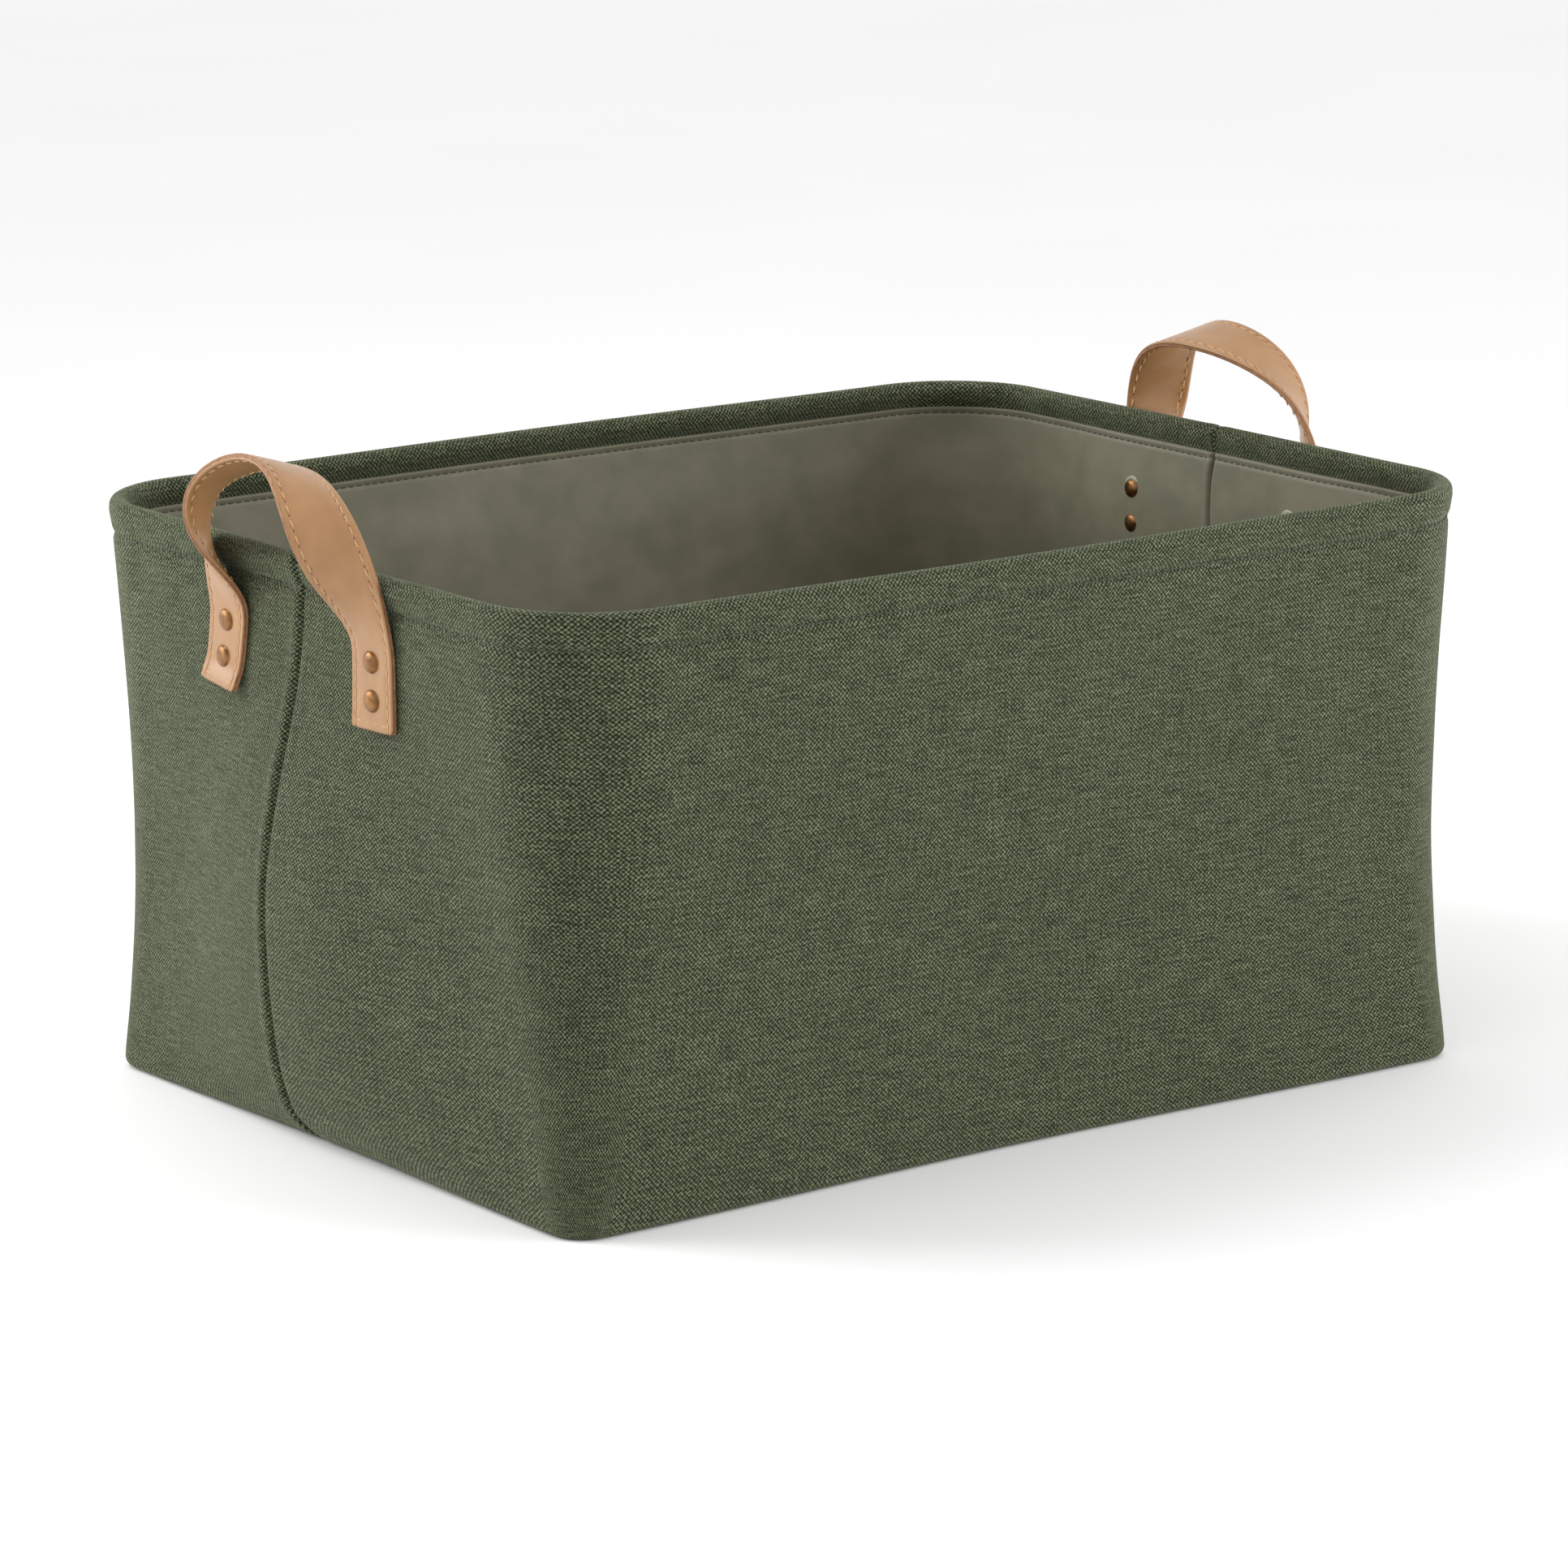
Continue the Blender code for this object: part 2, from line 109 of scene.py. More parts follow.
# %% [markdown]
# ## Sizes of the wall
#
# The cloth wall is a rounded rectangle that changes a little with height. The rim is held
# round by the wire, the base is sharper, and the short ends belly out where the cloth is
# slack. One small class answers where the wall stands at any height, so the outer cloth,
# the lining, the straps and the rivets all agree with each other. The height and the
# bend line of the handles come from the frame.

# %% Sizes
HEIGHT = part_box("outer_front_panel")[1].z
JOINTS = {joint["name"]: joint for joint in frame["joints"]}
BEND_Z = JOINTS["left_handle_bend"]["pos_m"][2]
RIM_LENGTH, RIM_WIDTH, RIM_CORNER = 461.0 * MM, 342.0 * MM, 46.0 * MM
BASE_LENGTH, BASE_WIDTH, BASE_CORNER = 446.0 * MM, 331.5 * MM, 15.5 * MM
RIM_BOW_LONG, RIM_BOW_SHORT = 3.5 * MM, 1.0 * MM
BASE_BOW_LONG, BASE_BOW_SHORT = -5.2 * MM, -4.8 * MM
FOLD_PINCH, FOLD_CORNER = 2.2 * MM, 8.0 * MM
BELLY, BELLY_RISE, BELLY_TOP = 18.0 * MM, 20.0 * MM, 70.0 * MM
CLOTH, LINING_CLOTH = 1.3 * MM, 0.8 * MM
ROLL_RADIUS, ROLL_OFFSET = 3.55 * MM, -0.8 * MM
ROLL_Z = HEIGHT - ROLL_RADIUS - CLOTH / 2
LINING_OFFSET = -2.95 * MM
HEM_STITCH_Z = HEIGHT - 14.5 * MM
FLARE = 2.3 * MM
print("wall: %.0f mm high, rim %.0f x %.0f mm" % (HEIGHT / MM, RIM_LENGTH / MM, RIM_WIDTH / MM))


# %% Where the wall stands
def smoothstep(t):
    t = min(max(t, 0.0), 1.0)
    return t * t * (3 - 2 * t)


def bell(distance, width):
    """A soft bump: 1 at no distance, fading over the width."""
    return math.exp(-(distance / width) ** 2)


class Section:
    """The wall's outline at one height."""

    def __init__(self, z):
        t = min(max(z / HEIGHT, 0.0), 1.0)
        crease = 4 * t * (1 - t)
        slack = (1 - math.exp(-max(z, 0.0) / BELLY_RISE)) * smoothstep((HEIGHT - z) / (HEIGHT - BELLY_TOP))
        self.z = z
        self.half_length = (BASE_LENGTH + (RIM_LENGTH - BASE_LENGTH) * t) / 2 - FOLD_PINCH * crease
        self.half_width = (BASE_WIDTH + (RIM_WIDTH - BASE_WIDTH) * t) / 2 - FOLD_PINCH * crease
        self.corner = BASE_CORNER + (RIM_CORNER - BASE_CORNER) * t + FOLD_CORNER * crease
        self.bow_long = BASE_BOW_LONG + (RIM_BOW_LONG - BASE_BOW_LONG) * t
        self.bow_short = BASE_BOW_SHORT + (RIM_BOW_SHORT - BASE_BOW_SHORT) * t + BELLY * slack

    def end_x(self, y):
        flat = self.half_width - self.corner
        share = min(max(y / flat, -1.0), 1.0)
        return self.half_length + self.bow_short * math.cos(math.pi / 2 * share) ** 2

    def side_y(self, x):
        flat = self.half_length - self.corner
        share = min(max(x / flat, -1.0), 1.0)
        return self.half_width + self.bow_long * math.cos(math.pi / 2 * share) ** 2


# %% [markdown]
# ## Walking round the wall
#
# Each half of the wall runs from the seam on one short end, round two corners, to the seam
# on the other. Columns of the cloth's mesh stand at fixed shares of that walk. They are
# packed closely near the seams, where the cloth dives into the stitching, and spaced
# evenly elsewhere. The seam itself isn't plumb: it swings sideways on its way down and
# hooks back at the base edge.

# %% Columns of the walk
END_COLUMNS, CORNER_COLUMNS, LONG_COLUMNS = 64, 22, 128
SEAM_GAP = 0.3 * MM
SEAM_SWING, SEAM_SETTLE_Z = 23.0 * MM, 90.0 * MM        # sideways, and the height where it is reached
SEAM_HOOK, SEAM_HOOK_Z = 9.0 * MM, 12.0 * MM            # back towards the middle, at the base edge


def seam_drift(z):
    """Sideways place of the outer seam: a slow swing below the rim, and a hook back at the base."""
    swing = SEAM_SWING * smoothstep((HEIGHT - z) / (HEIGHT - SEAM_SETTLE_Z))
    return swing - SEAM_HOOK * (1 - smoothstep(z / SEAM_HOOK_Z))


def along_points(points, z):
    """Smooth reading of (height, value) pairs, both in millimetres."""
    height = z / MM
    for (low, first), (high, second) in zip(points, points[1:]):
        if height <= high:
            return (first + (second - first) * smoothstep((height - low) / (high - low)) * 0.35
                    + (second - first) * min(max((height - low) / (high - low), 0.0), 1.0) * 0.65) * MM
    return points[-1][1] * MM


def walk_stations():
    """(stretch, share) of each column from the middle of one end to the middle of the other."""
    stations = []
    for i in range(END_COLUMNS):
        t = i / END_COLUMNS
        stations.append(("end", 0.12 * t + 0.88 * t * t))
    stations += [("corner", i / CORNER_COLUMNS) for i in range(CORNER_COLUMNS)]
    half = LONG_COLUMNS // 2
    stations += [("long", i / half) for i in range(half + 1)]
    return [(s, t, -1) for s, t in stations] + [(s, t, 1) for s, t in reversed(stations[:-1])]


WALK = walk_stations()


def flare(station, z):
    """Outward lean of the top of the wall up to the hem, except behind the straps."""
    stretch, share = station[:2]
    held = smoothstep((share - 0.45) / 0.4) if stretch == "end" else 1.0
    above = 1 - smoothstep((z - HEM_STITCH_Z) / (ROLL_Z - HEM_STITCH_Z))
    return FLARE * held * above * smoothstep((z - 70 * MM) / (HEM_STITCH_Z - 70 * MM))


def wall_point(station, side, z, offset, seam=0.0):
    """A point on the wall: side is -1 for the front half and +1 for the back half."""
    stretch, share, end = station
    section = Section(z)
    offset += flare(station, z)
    if stretch == "end":
        start = seam if end < 0 else seam * 0.3
        edge = side * (section.half_width - section.corner)
        y = start + side * SEAM_GAP / 2 + (edge - start) * share
        return Vector((end * (section.end_x(y) + offset), y, z))
    centre_x = section.half_length - section.corner
    centre_y = section.half_width - section.corner
    if stretch == "corner":
        angle = math.pi / 2 * share
        radius = section.corner + offset
        x = centre_x + radius * math.cos(angle)
        return Vector((end * x, side * (centre_y + radius * math.sin(angle)), z))
    x = centre_x * (1 - share)
    return Vector((end * x, side * (section.side_y(x) + offset), z))


def walked_lengths():
    """Distance walked to each column, at half height."""
    points = [wall_point(station, -1, HEIGHT / 2, 0.0) for station in WALK]
    lengths = [0.0]
    for before, after in zip(points, points[1:]):
        lengths.append(lengths[-1] + (after - before).length)
    return lengths


WALKED = walked_lengths()
print("half the wall is %.0f mm round, in %d columns" % (WALKED[-1] / MM, len(WALK)))

# %% [markdown]
# ## Making a cloth sheet
#
# A sheet of cloth starts as a flat grid, which is then laid along the wall by moving each
# vertex to its place. The grid keeps a UV map in real metres of cloth, so a weave drawn
# on it stays straight with the threads and has one scale on every panel. A Solidify
# modifier gives the cloth its thickness, and the result is made permanent, because a
# piece that bends across a joint has to be a finished mesh.


# %% Grid, thickness and finishing
def mapped_grid(columns, rows, place, unwrap):
    """A grid whose vertices go to place(column, row), with UVs in metres from unwrap(column, row)."""
    bm = bmesh.new()
    bmesh.ops.create_grid(bm, x_segments=columns, y_segments=rows, size=0.5)
    spots = {}
    for vert in bm.verts:
        spots[vert] = (round((vert.co.x + 0.5) * columns), round((vert.co.y + 0.5) * rows))
    layer = bm.loops.layers.uv.new("cloth")
    for face in bm.faces:
        for loop in face.loops:
            loop[layer].uv = unwrap(*spots[loop.vert])
    for vert, spot in spots.items():
        vert.co = place(*spot)
    return bm


def piece_from(name, bm, materials):
    """Turns a bmesh into an object of the scene, shaded smooth."""
    mesh = bpy.data.meshes.new(name)
    bm.to_mesh(mesh)
    bm.free()
    for material in materials:
        mesh.materials.append(material)
    mesh.shade_smooth()
    obj = bpy.data.objects.new(name, mesh)
    bpy.context.scene.collection.objects.link(obj)
    return obj


def made_permanent(obj):
    """Applies the modifiers and keeps only the resulting mesh."""
    graph = bpy.context.evaluated_depsgraph_get()
    mesh = bpy.data.meshes.new_from_object(obj.evaluated_get(graph), preserve_all_data_layers=True,
                                           depsgraph=graph)
    mesh.name = obj.name
    obj.modifiers.clear()
    obj.data = mesh
    return obj


def thickened(obj, thickness, offset=0.0):
    modifier = obj.modifiers.new("cloth thickness", "SOLIDIFY")
    modifier.thickness = thickness
    modifier.offset = offset
    modifier.use_even_offset = True
    modifier.thickness_clamp = 1.0
    return made_permanent(obj)


# %% [markdown]
# ## Colours and nodes
#
# Colours are written as sRGB hex values, the way a swatch is read, and one function turns
# them to the linear numbers that the shaders want. One more function adds any node, sets
# it up and links it, so a material reads as a short list of steps.


# %% Colour and node helpers
def swatch(code):
    """Linear RGBA of an sRGB hex colour."""
    parts = [int(code[i:i + 2], 16) / 255 for i in (1, 3, 5)]
    linear = [c / 12.92 if c <= 0.04045 else ((c + 0.055) / 1.055) ** 2.4 for c in parts]
    return (*linear, 1.0)


def add(tree, kind, inputs=None, **settings):
    """Adds a node. Each input takes a number, a colour, or another node's output."""
    node = tree.nodes.new("ShaderNode" + kind)
    for key, value in settings.items():
        setattr(node, key, value)
    for key, value in (inputs or {}).items():
        if isinstance(value, bpy.types.NodeSocket):
            tree.links.new(value, node.inputs[key])
        else:
            node.inputs[key].default_value = value
    return node


def new_material(name):
    material = bpy.data.materials.new(name)
    material.use_nodes = True
    return material, material.node_tree, material.node_tree.nodes["Principled BSDF"]


def ramp_of(tree, factor, stops):
    """A colour ramp with (position, colour) stops."""
    node = add(tree, "ValToRGB", {0: factor})
    elements = node.color_ramp.elements
    while len(elements) < len(stops):
        elements.new(0.5)
    for element, (position, colour) in zip(elements, stops):
        element.position = position
        element.color = colour
    return node.outputs[0]


# %% [markdown]
# ## The olive cloth
#
# The outside is a plain weave of thick polyester yarn with a linen look. In a plain weave
# each thread goes over one and under the next, so the threads that come to the top make
# a chessboard of small bumps with pits between them. The product of two sine waves is
# that chessboard. It shapes the bump, and it also colours the cloth: the crowns are painted
# lighter as painted light and the pits darker as painted shade. Real yarn is uneven: noise
# bends the threads a little, noise stretched along a thread makes whole picks lighter or
# darker, and a few long thin slubs darken the cloth in streaks. Matte yarn scatters light
# from its fibre ends, which is what the sheen is for.

# %% Olive plain weave
WARP, WEFT = 0.97 * MM, 0.93 * MM       # spacing of the upright and of the level threads


def plain_weave(tree, uv, warp, weft, wobble):
    """Height of a plain weave from 0 in the pits to 1 on the crowns, and the wobbled UV.

    Upright threads ride higher than level ones, so every second crossing is a bright oval."""
    drift = add(tree, "TexNoise", {"Vector": uv, "Scale": 0.14 / warp, "Detail": 2.0}, noise_dimensions="2D")
    centred = add(tree, "VectorMath", {0: drift.outputs["Color"], 1: (0.5, 0.5, 0.5)}, operation="SUBTRACT")
    shifted = add(tree, "VectorMath", {0: centred.outputs[0], 1: (wobble,) * 3, 2: uv},
                  operation="MULTIPLY_ADD")
    split = add(tree, "SeparateXYZ", {0: shifted.outputs[0]})
    waves = []
    for axis, thread in enumerate((warp, weft)):
        turns = add(tree, "Math", {0: split.outputs[axis], 1: math.pi / thread}, operation="MULTIPLY")
        waves.append(add(tree, "Math", {0: turns.outputs[0]}, operation="SINE").outputs[0])
    board = add(tree, "Math", {0: waves[0], 1: waves[1]}, operation="MULTIPLY")
    height = add(tree, "MapRange", {0: board.outputs[0], 1: -1.0, 2: 1.0, 3: 0.0, 4: 1.0})
    return height.outputs[0], shifted.outputs[0]


def stretched_noise(tree, uv, width, height, detail=2.0, distortion=0.0):
    """Noise with its own size along and across the threads, in metres."""
    mapped = add(tree, "Mapping", {"Vector": uv, "Scale": (1 / width, 1 / height, 1.0)})
    made = add(tree, "TexNoise", {"Vector": mapped.outputs[0], "Scale": 1.0, "Detail": detail,
                                  "Distortion": distortion}, noise_dimensions="2D")
    return made.outputs[0]


def mixed(tree, factor, first, second, blend="MIX"):
    node = add(tree, "Mix", {0: factor, 6: first, 7: second}, data_type="RGBA", blend_type=blend)
    return node.outputs[2]


def woven_linen_look():
    material, tree, shader = new_material("olive_plain_weave")
    uv = add(tree, "UVMap", uv_map="cloth").outputs[0]
    height, bent = plain_weave(tree, uv, WARP, WEFT, 0.9 * MM)
    picks = stretched_noise(tree, bent, 15 * MM, 1.0 * MM, 3.0)
    ends = stretched_noise(tree, bent, 1.0 * MM, 16 * MM, 3.0)
    fleck = stretched_noise(tree, bent, 1.1 * MM, 1.1 * MM, 2.0)
    slub = stretched_noise(tree, bent, 15 * MM, 0.75 * MM, 3.0, 0.3)
    cloud = stretched_noise(tree, uv, 55 * MM, 40 * MM, 3.0)
    yarn = add(tree, "Math", {0: picks, 1: 1.5, 2: ends}, operation="MULTIPLY_ADD")
    lift = add(tree, "MapRange", {0: yarn.outputs[0], 1: 0.9, 2: 1.6, 3: -0.14, 4: 0.14})
    speck = add(tree, "MapRange", {0: fleck, 1: 0.3, 2: 0.7, 3: -0.24, 4: 0.24})
    # The weave height in this tone paints the pits darker as painted shade and the crowns lighter as painted
    # light. The picks, ends and flecks are the yarn's own uneven colour.
    tone = add(tree, "Math", {0: height, 1: lift.outputs[0]}, operation="ADD")
    tone = add(tree, "Math", {0: tone.outputs[0], 1: speck.outputs[0]}, operation="ADD")
    colour = ramp_of(tree, tone.outputs[0], (
        (0.08, swatch("#11140b")),
        (0.38, swatch("#313825")),
        (0.64, swatch("#494f39")),
        (0.96, swatch("#7c8068")),
    ))
    streak = ramp_of(tree, slub, ((0.60, swatch("#ffffff")), (0.74, swatch("#cdcfc0"))))
    colour = mixed(tree, 1.0, colour, streak, "MULTIPLY")
    patch = ramp_of(tree, cloud, ((0.30, swatch("#f4f5f0")), (0.70, swatch("#fffffc"))))
    colour = mixed(tree, 1.0, colour, patch, "MULTIPLY")
    tree.links.new(colour, shader.inputs["Base Color"])
    shader.inputs["Roughness"].default_value = 0.88
    shader.inputs["Specular IOR Level"].default_value = 0.22
    shader.inputs["Sheen Weight"].default_value = 0.22
    shader.inputs["Sheen Roughness"].default_value = 0.45
    shader.inputs["Sheen Tint"].default_value = swatch("#c9d4b4")
    bump = add(tree, "Bump", {"Strength": 0.62, "Distance": 0.42 * MM, "Height": tone.outputs[0]})
    tree.links.new(bump.outputs[0], shader.inputs["Normal"])
    return material


OLIVE_CLOTH = woven_linen_look()
print("material:", OLIVE_CLOTH.name)

# %% [markdown]
# ## The lining cloth
#
# The lining is a thin polyester with a soft coating on it. The coating fills the weave, so
# it looks almost smooth, with a faint cloudy mottle where it is thicker and a low sheen
# that the woven outside doesn't have.


# %% Coated lining
def coated_cloth():
    material, tree, shader = new_material("coated_polyester_lining")
    uv = add(tree, "UVMap", uv_map="cloth").outputs[0]
    height = plain_weave(tree, uv, 0.7 * MM, 0.7 * MM, 0.3 * MM)[0]
    mottle = stretched_noise(tree, uv, 18 * MM, 14 * MM, 5.0)
    cloud = stretched_noise(tree, uv, 90 * MM, 60 * MM, 3.0)
    tone = add(tree, "Math", {0: mottle, 1: cloud}, operation="ADD")
    tone = add(tree, "MapRange", {0: tone.outputs[0], 1: 0.75, 2: 1.25, 3: 0.0, 4: 1.0})
    colour = ramp_of(tree, tone.outputs[0], ((0.0, swatch("#686652")), (1.0, swatch("#77735f"))))
    tree.links.new(colour, shader.inputs["Base Color"])
    shader.inputs["Roughness"].default_value = 0.55
    shader.inputs["Specular IOR Level"].default_value = 0.4
    shader.inputs["Sheen Weight"].default_value = 0.08
    wrinkle = stretched_noise(tree, uv, 24 * MM, 30 * MM, 3.0)
    soft = add(tree, "Bump", {"Strength": 0.35, "Distance": 2.0 * MM, "Height": wrinkle})
    bump = add(tree, "Bump", {"Strength": 0.12, "Distance": 0.15 * MM, "Height": height,
                              "Normal": soft.outputs[0]})
    tree.links.new(bump.outputs[0], shader.inputs["Normal"])
    return material


LINING = coated_cloth()
print("material:", LINING.name)

# %% [markdown]
# ## The outer wall
#
# Each outer panel is one sheet. From the inside out it has a turned bottom edge, the wall,
# the roll over the wire hoop, and the raw edge that returns down the inside. Its profile
# is a list of rows, each with a distance out from the wall and a height. The relief adds
# what cloth does by itself: long soft waves, a groove where the seam is sewn, a tight
# line where the hem is stitched, and small puckers beside it.

# %% Profile of the outer cloth
BOTTOM_ROUND, BOTTOM_TURN = 4.2 * MM, 1.2 * MM
RETURN_OFFSET = -(CLOTH + 0.3 * MM)
HEM_EDGE_Z = HEIGHT - 18.5 * MM
WALL_ROWS, HEM_ROWS, ROLL_ROWS, BOTTOM_ROWS = 66, 12, 14, 6


def outer_rows():
    """(offset, height) of each row of the outer cloth."""
    low = CLOTH / 2
    rows = [(-BOTTOM_ROUND - BOTTOM_TURN, low)]
    for i in range(BOTTOM_ROWS + 1):
        angle = math.pi / 2 * i / BOTTOM_ROWS
        rows.append((-BOTTOM_ROUND * (1 - math.sin(angle)), low + BOTTOM_ROUND * (1 - math.cos(angle))))
    start = low + BOTTOM_ROUND
    stop = HEM_STITCH_Z - 4 * MM
    rows += [(0.0, start + (stop - start) * i / WALL_ROWS) for i in range(1, WALL_ROWS + 1)]
    outside = ROLL_OFFSET + ROLL_RADIUS
    for i in range(1, HEM_ROWS):
        z = stop + (ROLL_Z - stop) * i / HEM_ROWS
        swell = smoothstep((z - HEM_STITCH_Z) / (ROLL_Z - HEM_STITCH_Z))
        rows.append((outside * swell, z))
    for i in range(ROLL_ROWS + 1):
        angle = math.pi * i / ROLL_ROWS
        rows.append((ROLL_OFFSET + ROLL_RADIUS * math.cos(angle), ROLL_Z + ROLL_RADIUS * math.sin(angle)))
    inside = ROLL_OFFSET - ROLL_RADIUS
    for i in range(1, 7):
        z = ROLL_Z - 10 * MM * i / 6
        rows.append((RETURN_OFFSET + (inside - RETURN_OFFSET) * (1 - smoothstep(i / 6)), z))
    rows.append((RETURN_OFFSET, HEM_EDGE_Z))
    return rows


OUTER_ROWS = outer_rows()
OUTER_RUN = [0.0]
for first, second in zip(OUTER_ROWS, OUTER_ROWS[1:]):
    OUTER_RUN.append(OUTER_RUN[-1] + math.dist(first, second))
print("outer cloth: %d rows, %.0f mm from edge to edge" % (len(OUTER_ROWS), OUTER_RUN[-1] / MM))


# %% Relief of the outer cloth
def soft_waves(point):
    """Slow undulation of slack cloth, still at the base and under the hem."""
    free = smoothstep(point.z / (30 * MM)) * smoothstep((HEM_STITCH_Z - point.z) / (40 * MM))
    broad = noise.noise(Vector((point.x, point.y, point.z * 0.7)) / (95 * MM))
    fine = noise.noise(Vector((point.x, point.y, point.z)) / (38 * MM) + Vector((7.0, 3.0, 1.0)))
    return free * (1.3 * MM * broad + 0.35 * MM * fine)


def hem_relief(walked, z):
    """The hem's stitched line is drawn in, with small puckers on both sides of it."""
    tight = -1.35 * MM * bell(z - HEM_STITCH_Z, 1.7 * MM)
    pucker = noise.noise(Vector((walked / (4.0 * MM), 0.0, 2.5)))
    slow = noise.noise(Vector((walked / (26 * MM), 0.0, 8.5)))
    near = bell(z - HEM_STITCH_Z, 5 * MM)
    return tight + 0.55 * MM * pucker * near + 0.3 * MM * slow * bell(z - HEM_STITCH_Z, 12 * MM)


def seam_relief(distance, side):
    """A groove at the seam, and beside it the ridge of the allowance pressed to the back."""
    groove = -1.4 * MM * bell(distance, 1.5 * MM)
    ridge = (0.75 if side > 0 else 0.3) * MM * bell(distance - 4.0 * MM, 3.2 * MM)
    return groove + ridge


def outer_panel(name, side, stands_for):
    def relief(station, walked, z):
        resting = wall_point(station, side, z, 0.0, seam_drift(z))
        amount = soft_waves(resting) + hem_relief(walked, z)
        if station[0] == "end":
            distance = min(walked, WALKED[-1] - walked)
            amount += seam_relief(distance, side)
        return amount

    def place(column, row):
        offset, z = OUTER_ROWS[row]
        station = WALK[column]
        seam = seam_drift(z)
        amount = relief(station, WALKED[column], z)
        flat = row > len(OUTER_ROWS) - 8
        if flat:
            amount = relief(station, WALKED[column], HEM_STITCH_Z + 12 * MM) * 0.5
        return wall_point(station, side, z, offset + amount, seam)

    bm = mapped_grid(len(WALK) - 1, len(OUTER_ROWS) - 1, place,
                     lambda column, row: (WALKED[column], OUTER_RUN[row]))
    if side > 0:
        bmesh.ops.reverse_faces(bm, faces=bm.faces)
    panel = thickened(piece_from(name, bm, [OLIVE_CLOTH]), CLOTH)
    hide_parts(stands_for)
    return panel


front_cloth = outer_panel("front_cloth", -1, "outer_front_panel")
back_cloth = outer_panel("back_cloth", 1, "outer_back_panel")
print("outer cloth:", len(front_cloth.data.polygons), "faces on each half")

# %% [markdown]
# ## The lining wall
#
# The lining hangs inside the outer cloth. Its top edge is folded over and sewn down a
# little below the rim, which leaves a narrow band above the stitching. Below that the
# lining has more length than it needs, so it puckers under the stitches and ripples on
# the way down. It may only ripple inwards, because the outer cloth is behind it.

# %% Lining profile and panels
LINING_TOP_Z = HEIGHT - 11.6 * MM
LINING_STITCH_Z = LINING_TOP_Z - 2.5 * MM
LINING_LOW_Z = 4.7 * MM
LINING_WALL_ROWS = 54


def lining_rows():
    """(offset, height) of each row of the lining, from the base to the folded top."""
    stop = LINING_STITCH_Z - 3 * MM
    rows = [(LINING_OFFSET, LINING_LOW_Z + (stop - LINING_LOW_Z) * i / LINING_WALL_ROWS)
            for i in range(LINING_WALL_ROWS + 1)]
    band = ((0.0, -2.0), (0.0, -1.0), (0.2, -0.4), (0.2, 0.3), (-0.2, 1.0), (-0.3, 1.7), (-0.15, 2.3),
            (0.2, 2.5), (0.65, 2.2))
    rows += [(LINING_OFFSET + inward * MM, LINING_STITCH_Z + up * MM) for inward, up in band]
    return rows


LINING_ROWS = lining_rows()
LINING_RUN = [0.0]
for first, second in zip(LINING_ROWS, LINING_ROWS[1:]):
    LINING_RUN.append(LINING_RUN[-1] + math.dist(first, second))
LINING_DRIFT = ((0.0, -3.0), (60.0, 2.0), (110.0, -1.0), (160.0, 2.0), (192.0, -1.0), (206.0, 1.5),
                (217.0, 2.5), (227.0, -2.5), (240.0, -4.0))


def lining_panel(name, side, stands_for):
    def place(column, row):
        offset, z = LINING_ROWS[row]
        station = WALK[column]
        walked = WALKED[column]
        resting = wall_point(station, side, z, 0.0)
        below = max(LINING_STITCH_Z - z, 0.0)
        loose = smoothstep(z / (25 * MM)) * smoothstep(below / (30 * MM))
        spot = Vector((resting.x, resting.y, z * 0.55)) / (48 * MM)
        ripple = 0.5 + 0.5 * noise.noise(spot + Vector((3, 9, 5)))
        pucker = 0.5 + 0.5 * noise.noise(Vector((walked / (6.5 * MM), side * 4.0, z / (30 * MM))))
        amount = soft_waves(resting) * 0.9 - 2.4 * MM * ripple * loose
        amount -= 0.7 * MM * pucker * bell(below - 2 * MM, 9 * MM) * smoothstep(below / MM)
        if station[0] == "end":
            distance = min(walked, WALKED[-1] - walked)
            amount -= 0.9 * MM * bell(distance - 2.2 * MM, 2.0 * MM) * (1.0 if side > 0 else 0.5)
            amount += 0.9 * MM * bell(distance, 0.8 * MM)
        return wall_point(station, side, z, offset + amount, along_points(LINING_DRIFT, z))

    bm = mapped_grid(len(WALK) - 1, len(LINING_ROWS) - 1, place,
                     lambda column, row: (WALKED[column], LINING_RUN[row]))
    if side > 0:
        bmesh.ops.reverse_faces(bm, faces=bm.faces)
    panel = thickened(piece_from(name, bm, [LINING]), LINING_CLOTH * 0.75)
    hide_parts(stands_for)
    return panel


front_lining = lining_panel("front_lining", -1, "lining_front_panel")
back_lining = lining_panel("back_lining", 1, "lining_back_panel")
print("lining:", len(front_lining.data.polygons), "faces on each half")

# %% [markdown]
# ## The base
#
# The floor of the bin is three layers: the outer cloth, a grey board, and the lining. The
# cloth layers follow the wall's outline, so each is a grid wrapped round the bin and
# drawn in to the middle, where its last row closes to a point. The lining isn't glued to
# the board, so it lies on it in very shallow waves.

# %% Base sheets
RINGS = 26


def base_cloth(name, z, inset, thickness, rise, material, stands_for):
    round_trip = [wall_point(s, -1, z, -inset) for s in WALK[:-1]]
    round_trip += [wall_point(s, 1, z, -inset) for s in reversed(WALK[1:])]
    count = len(round_trip)

    def spot(column, row):
        edge = round_trip[column % count]
        share = 1 - row / RINGS
        return Vector((edge.x * share, edge.y * share, z))

    def place(column, row):
        point = spot(column, row)
        free = smoothstep(row / 4)
        wave = 0.5 + 0.5 * noise.noise(Vector((point.x, point.y, 4.0)) / (70 * MM))
        point.z += rise * wave * free
        return point

    bm = mapped_grid(count, RINGS, place, lambda column, row: tuple(spot(column, row).xy))
    bmesh.ops.remove_doubles(bm, verts=bm.verts, dist=0.005 * MM)
    bmesh.ops.recalc_face_normals(bm, faces=bm.faces)
    if sum(face.normal.z for face in bm.faces) < 0:
        bmesh.ops.reverse_faces(bm, faces=bm.faces)
    sheet = thickened(piece_from(name, bm, [material]), thickness, 1.0)
    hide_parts(stands_for)
    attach(sheet, "bin_base")
    return sheet


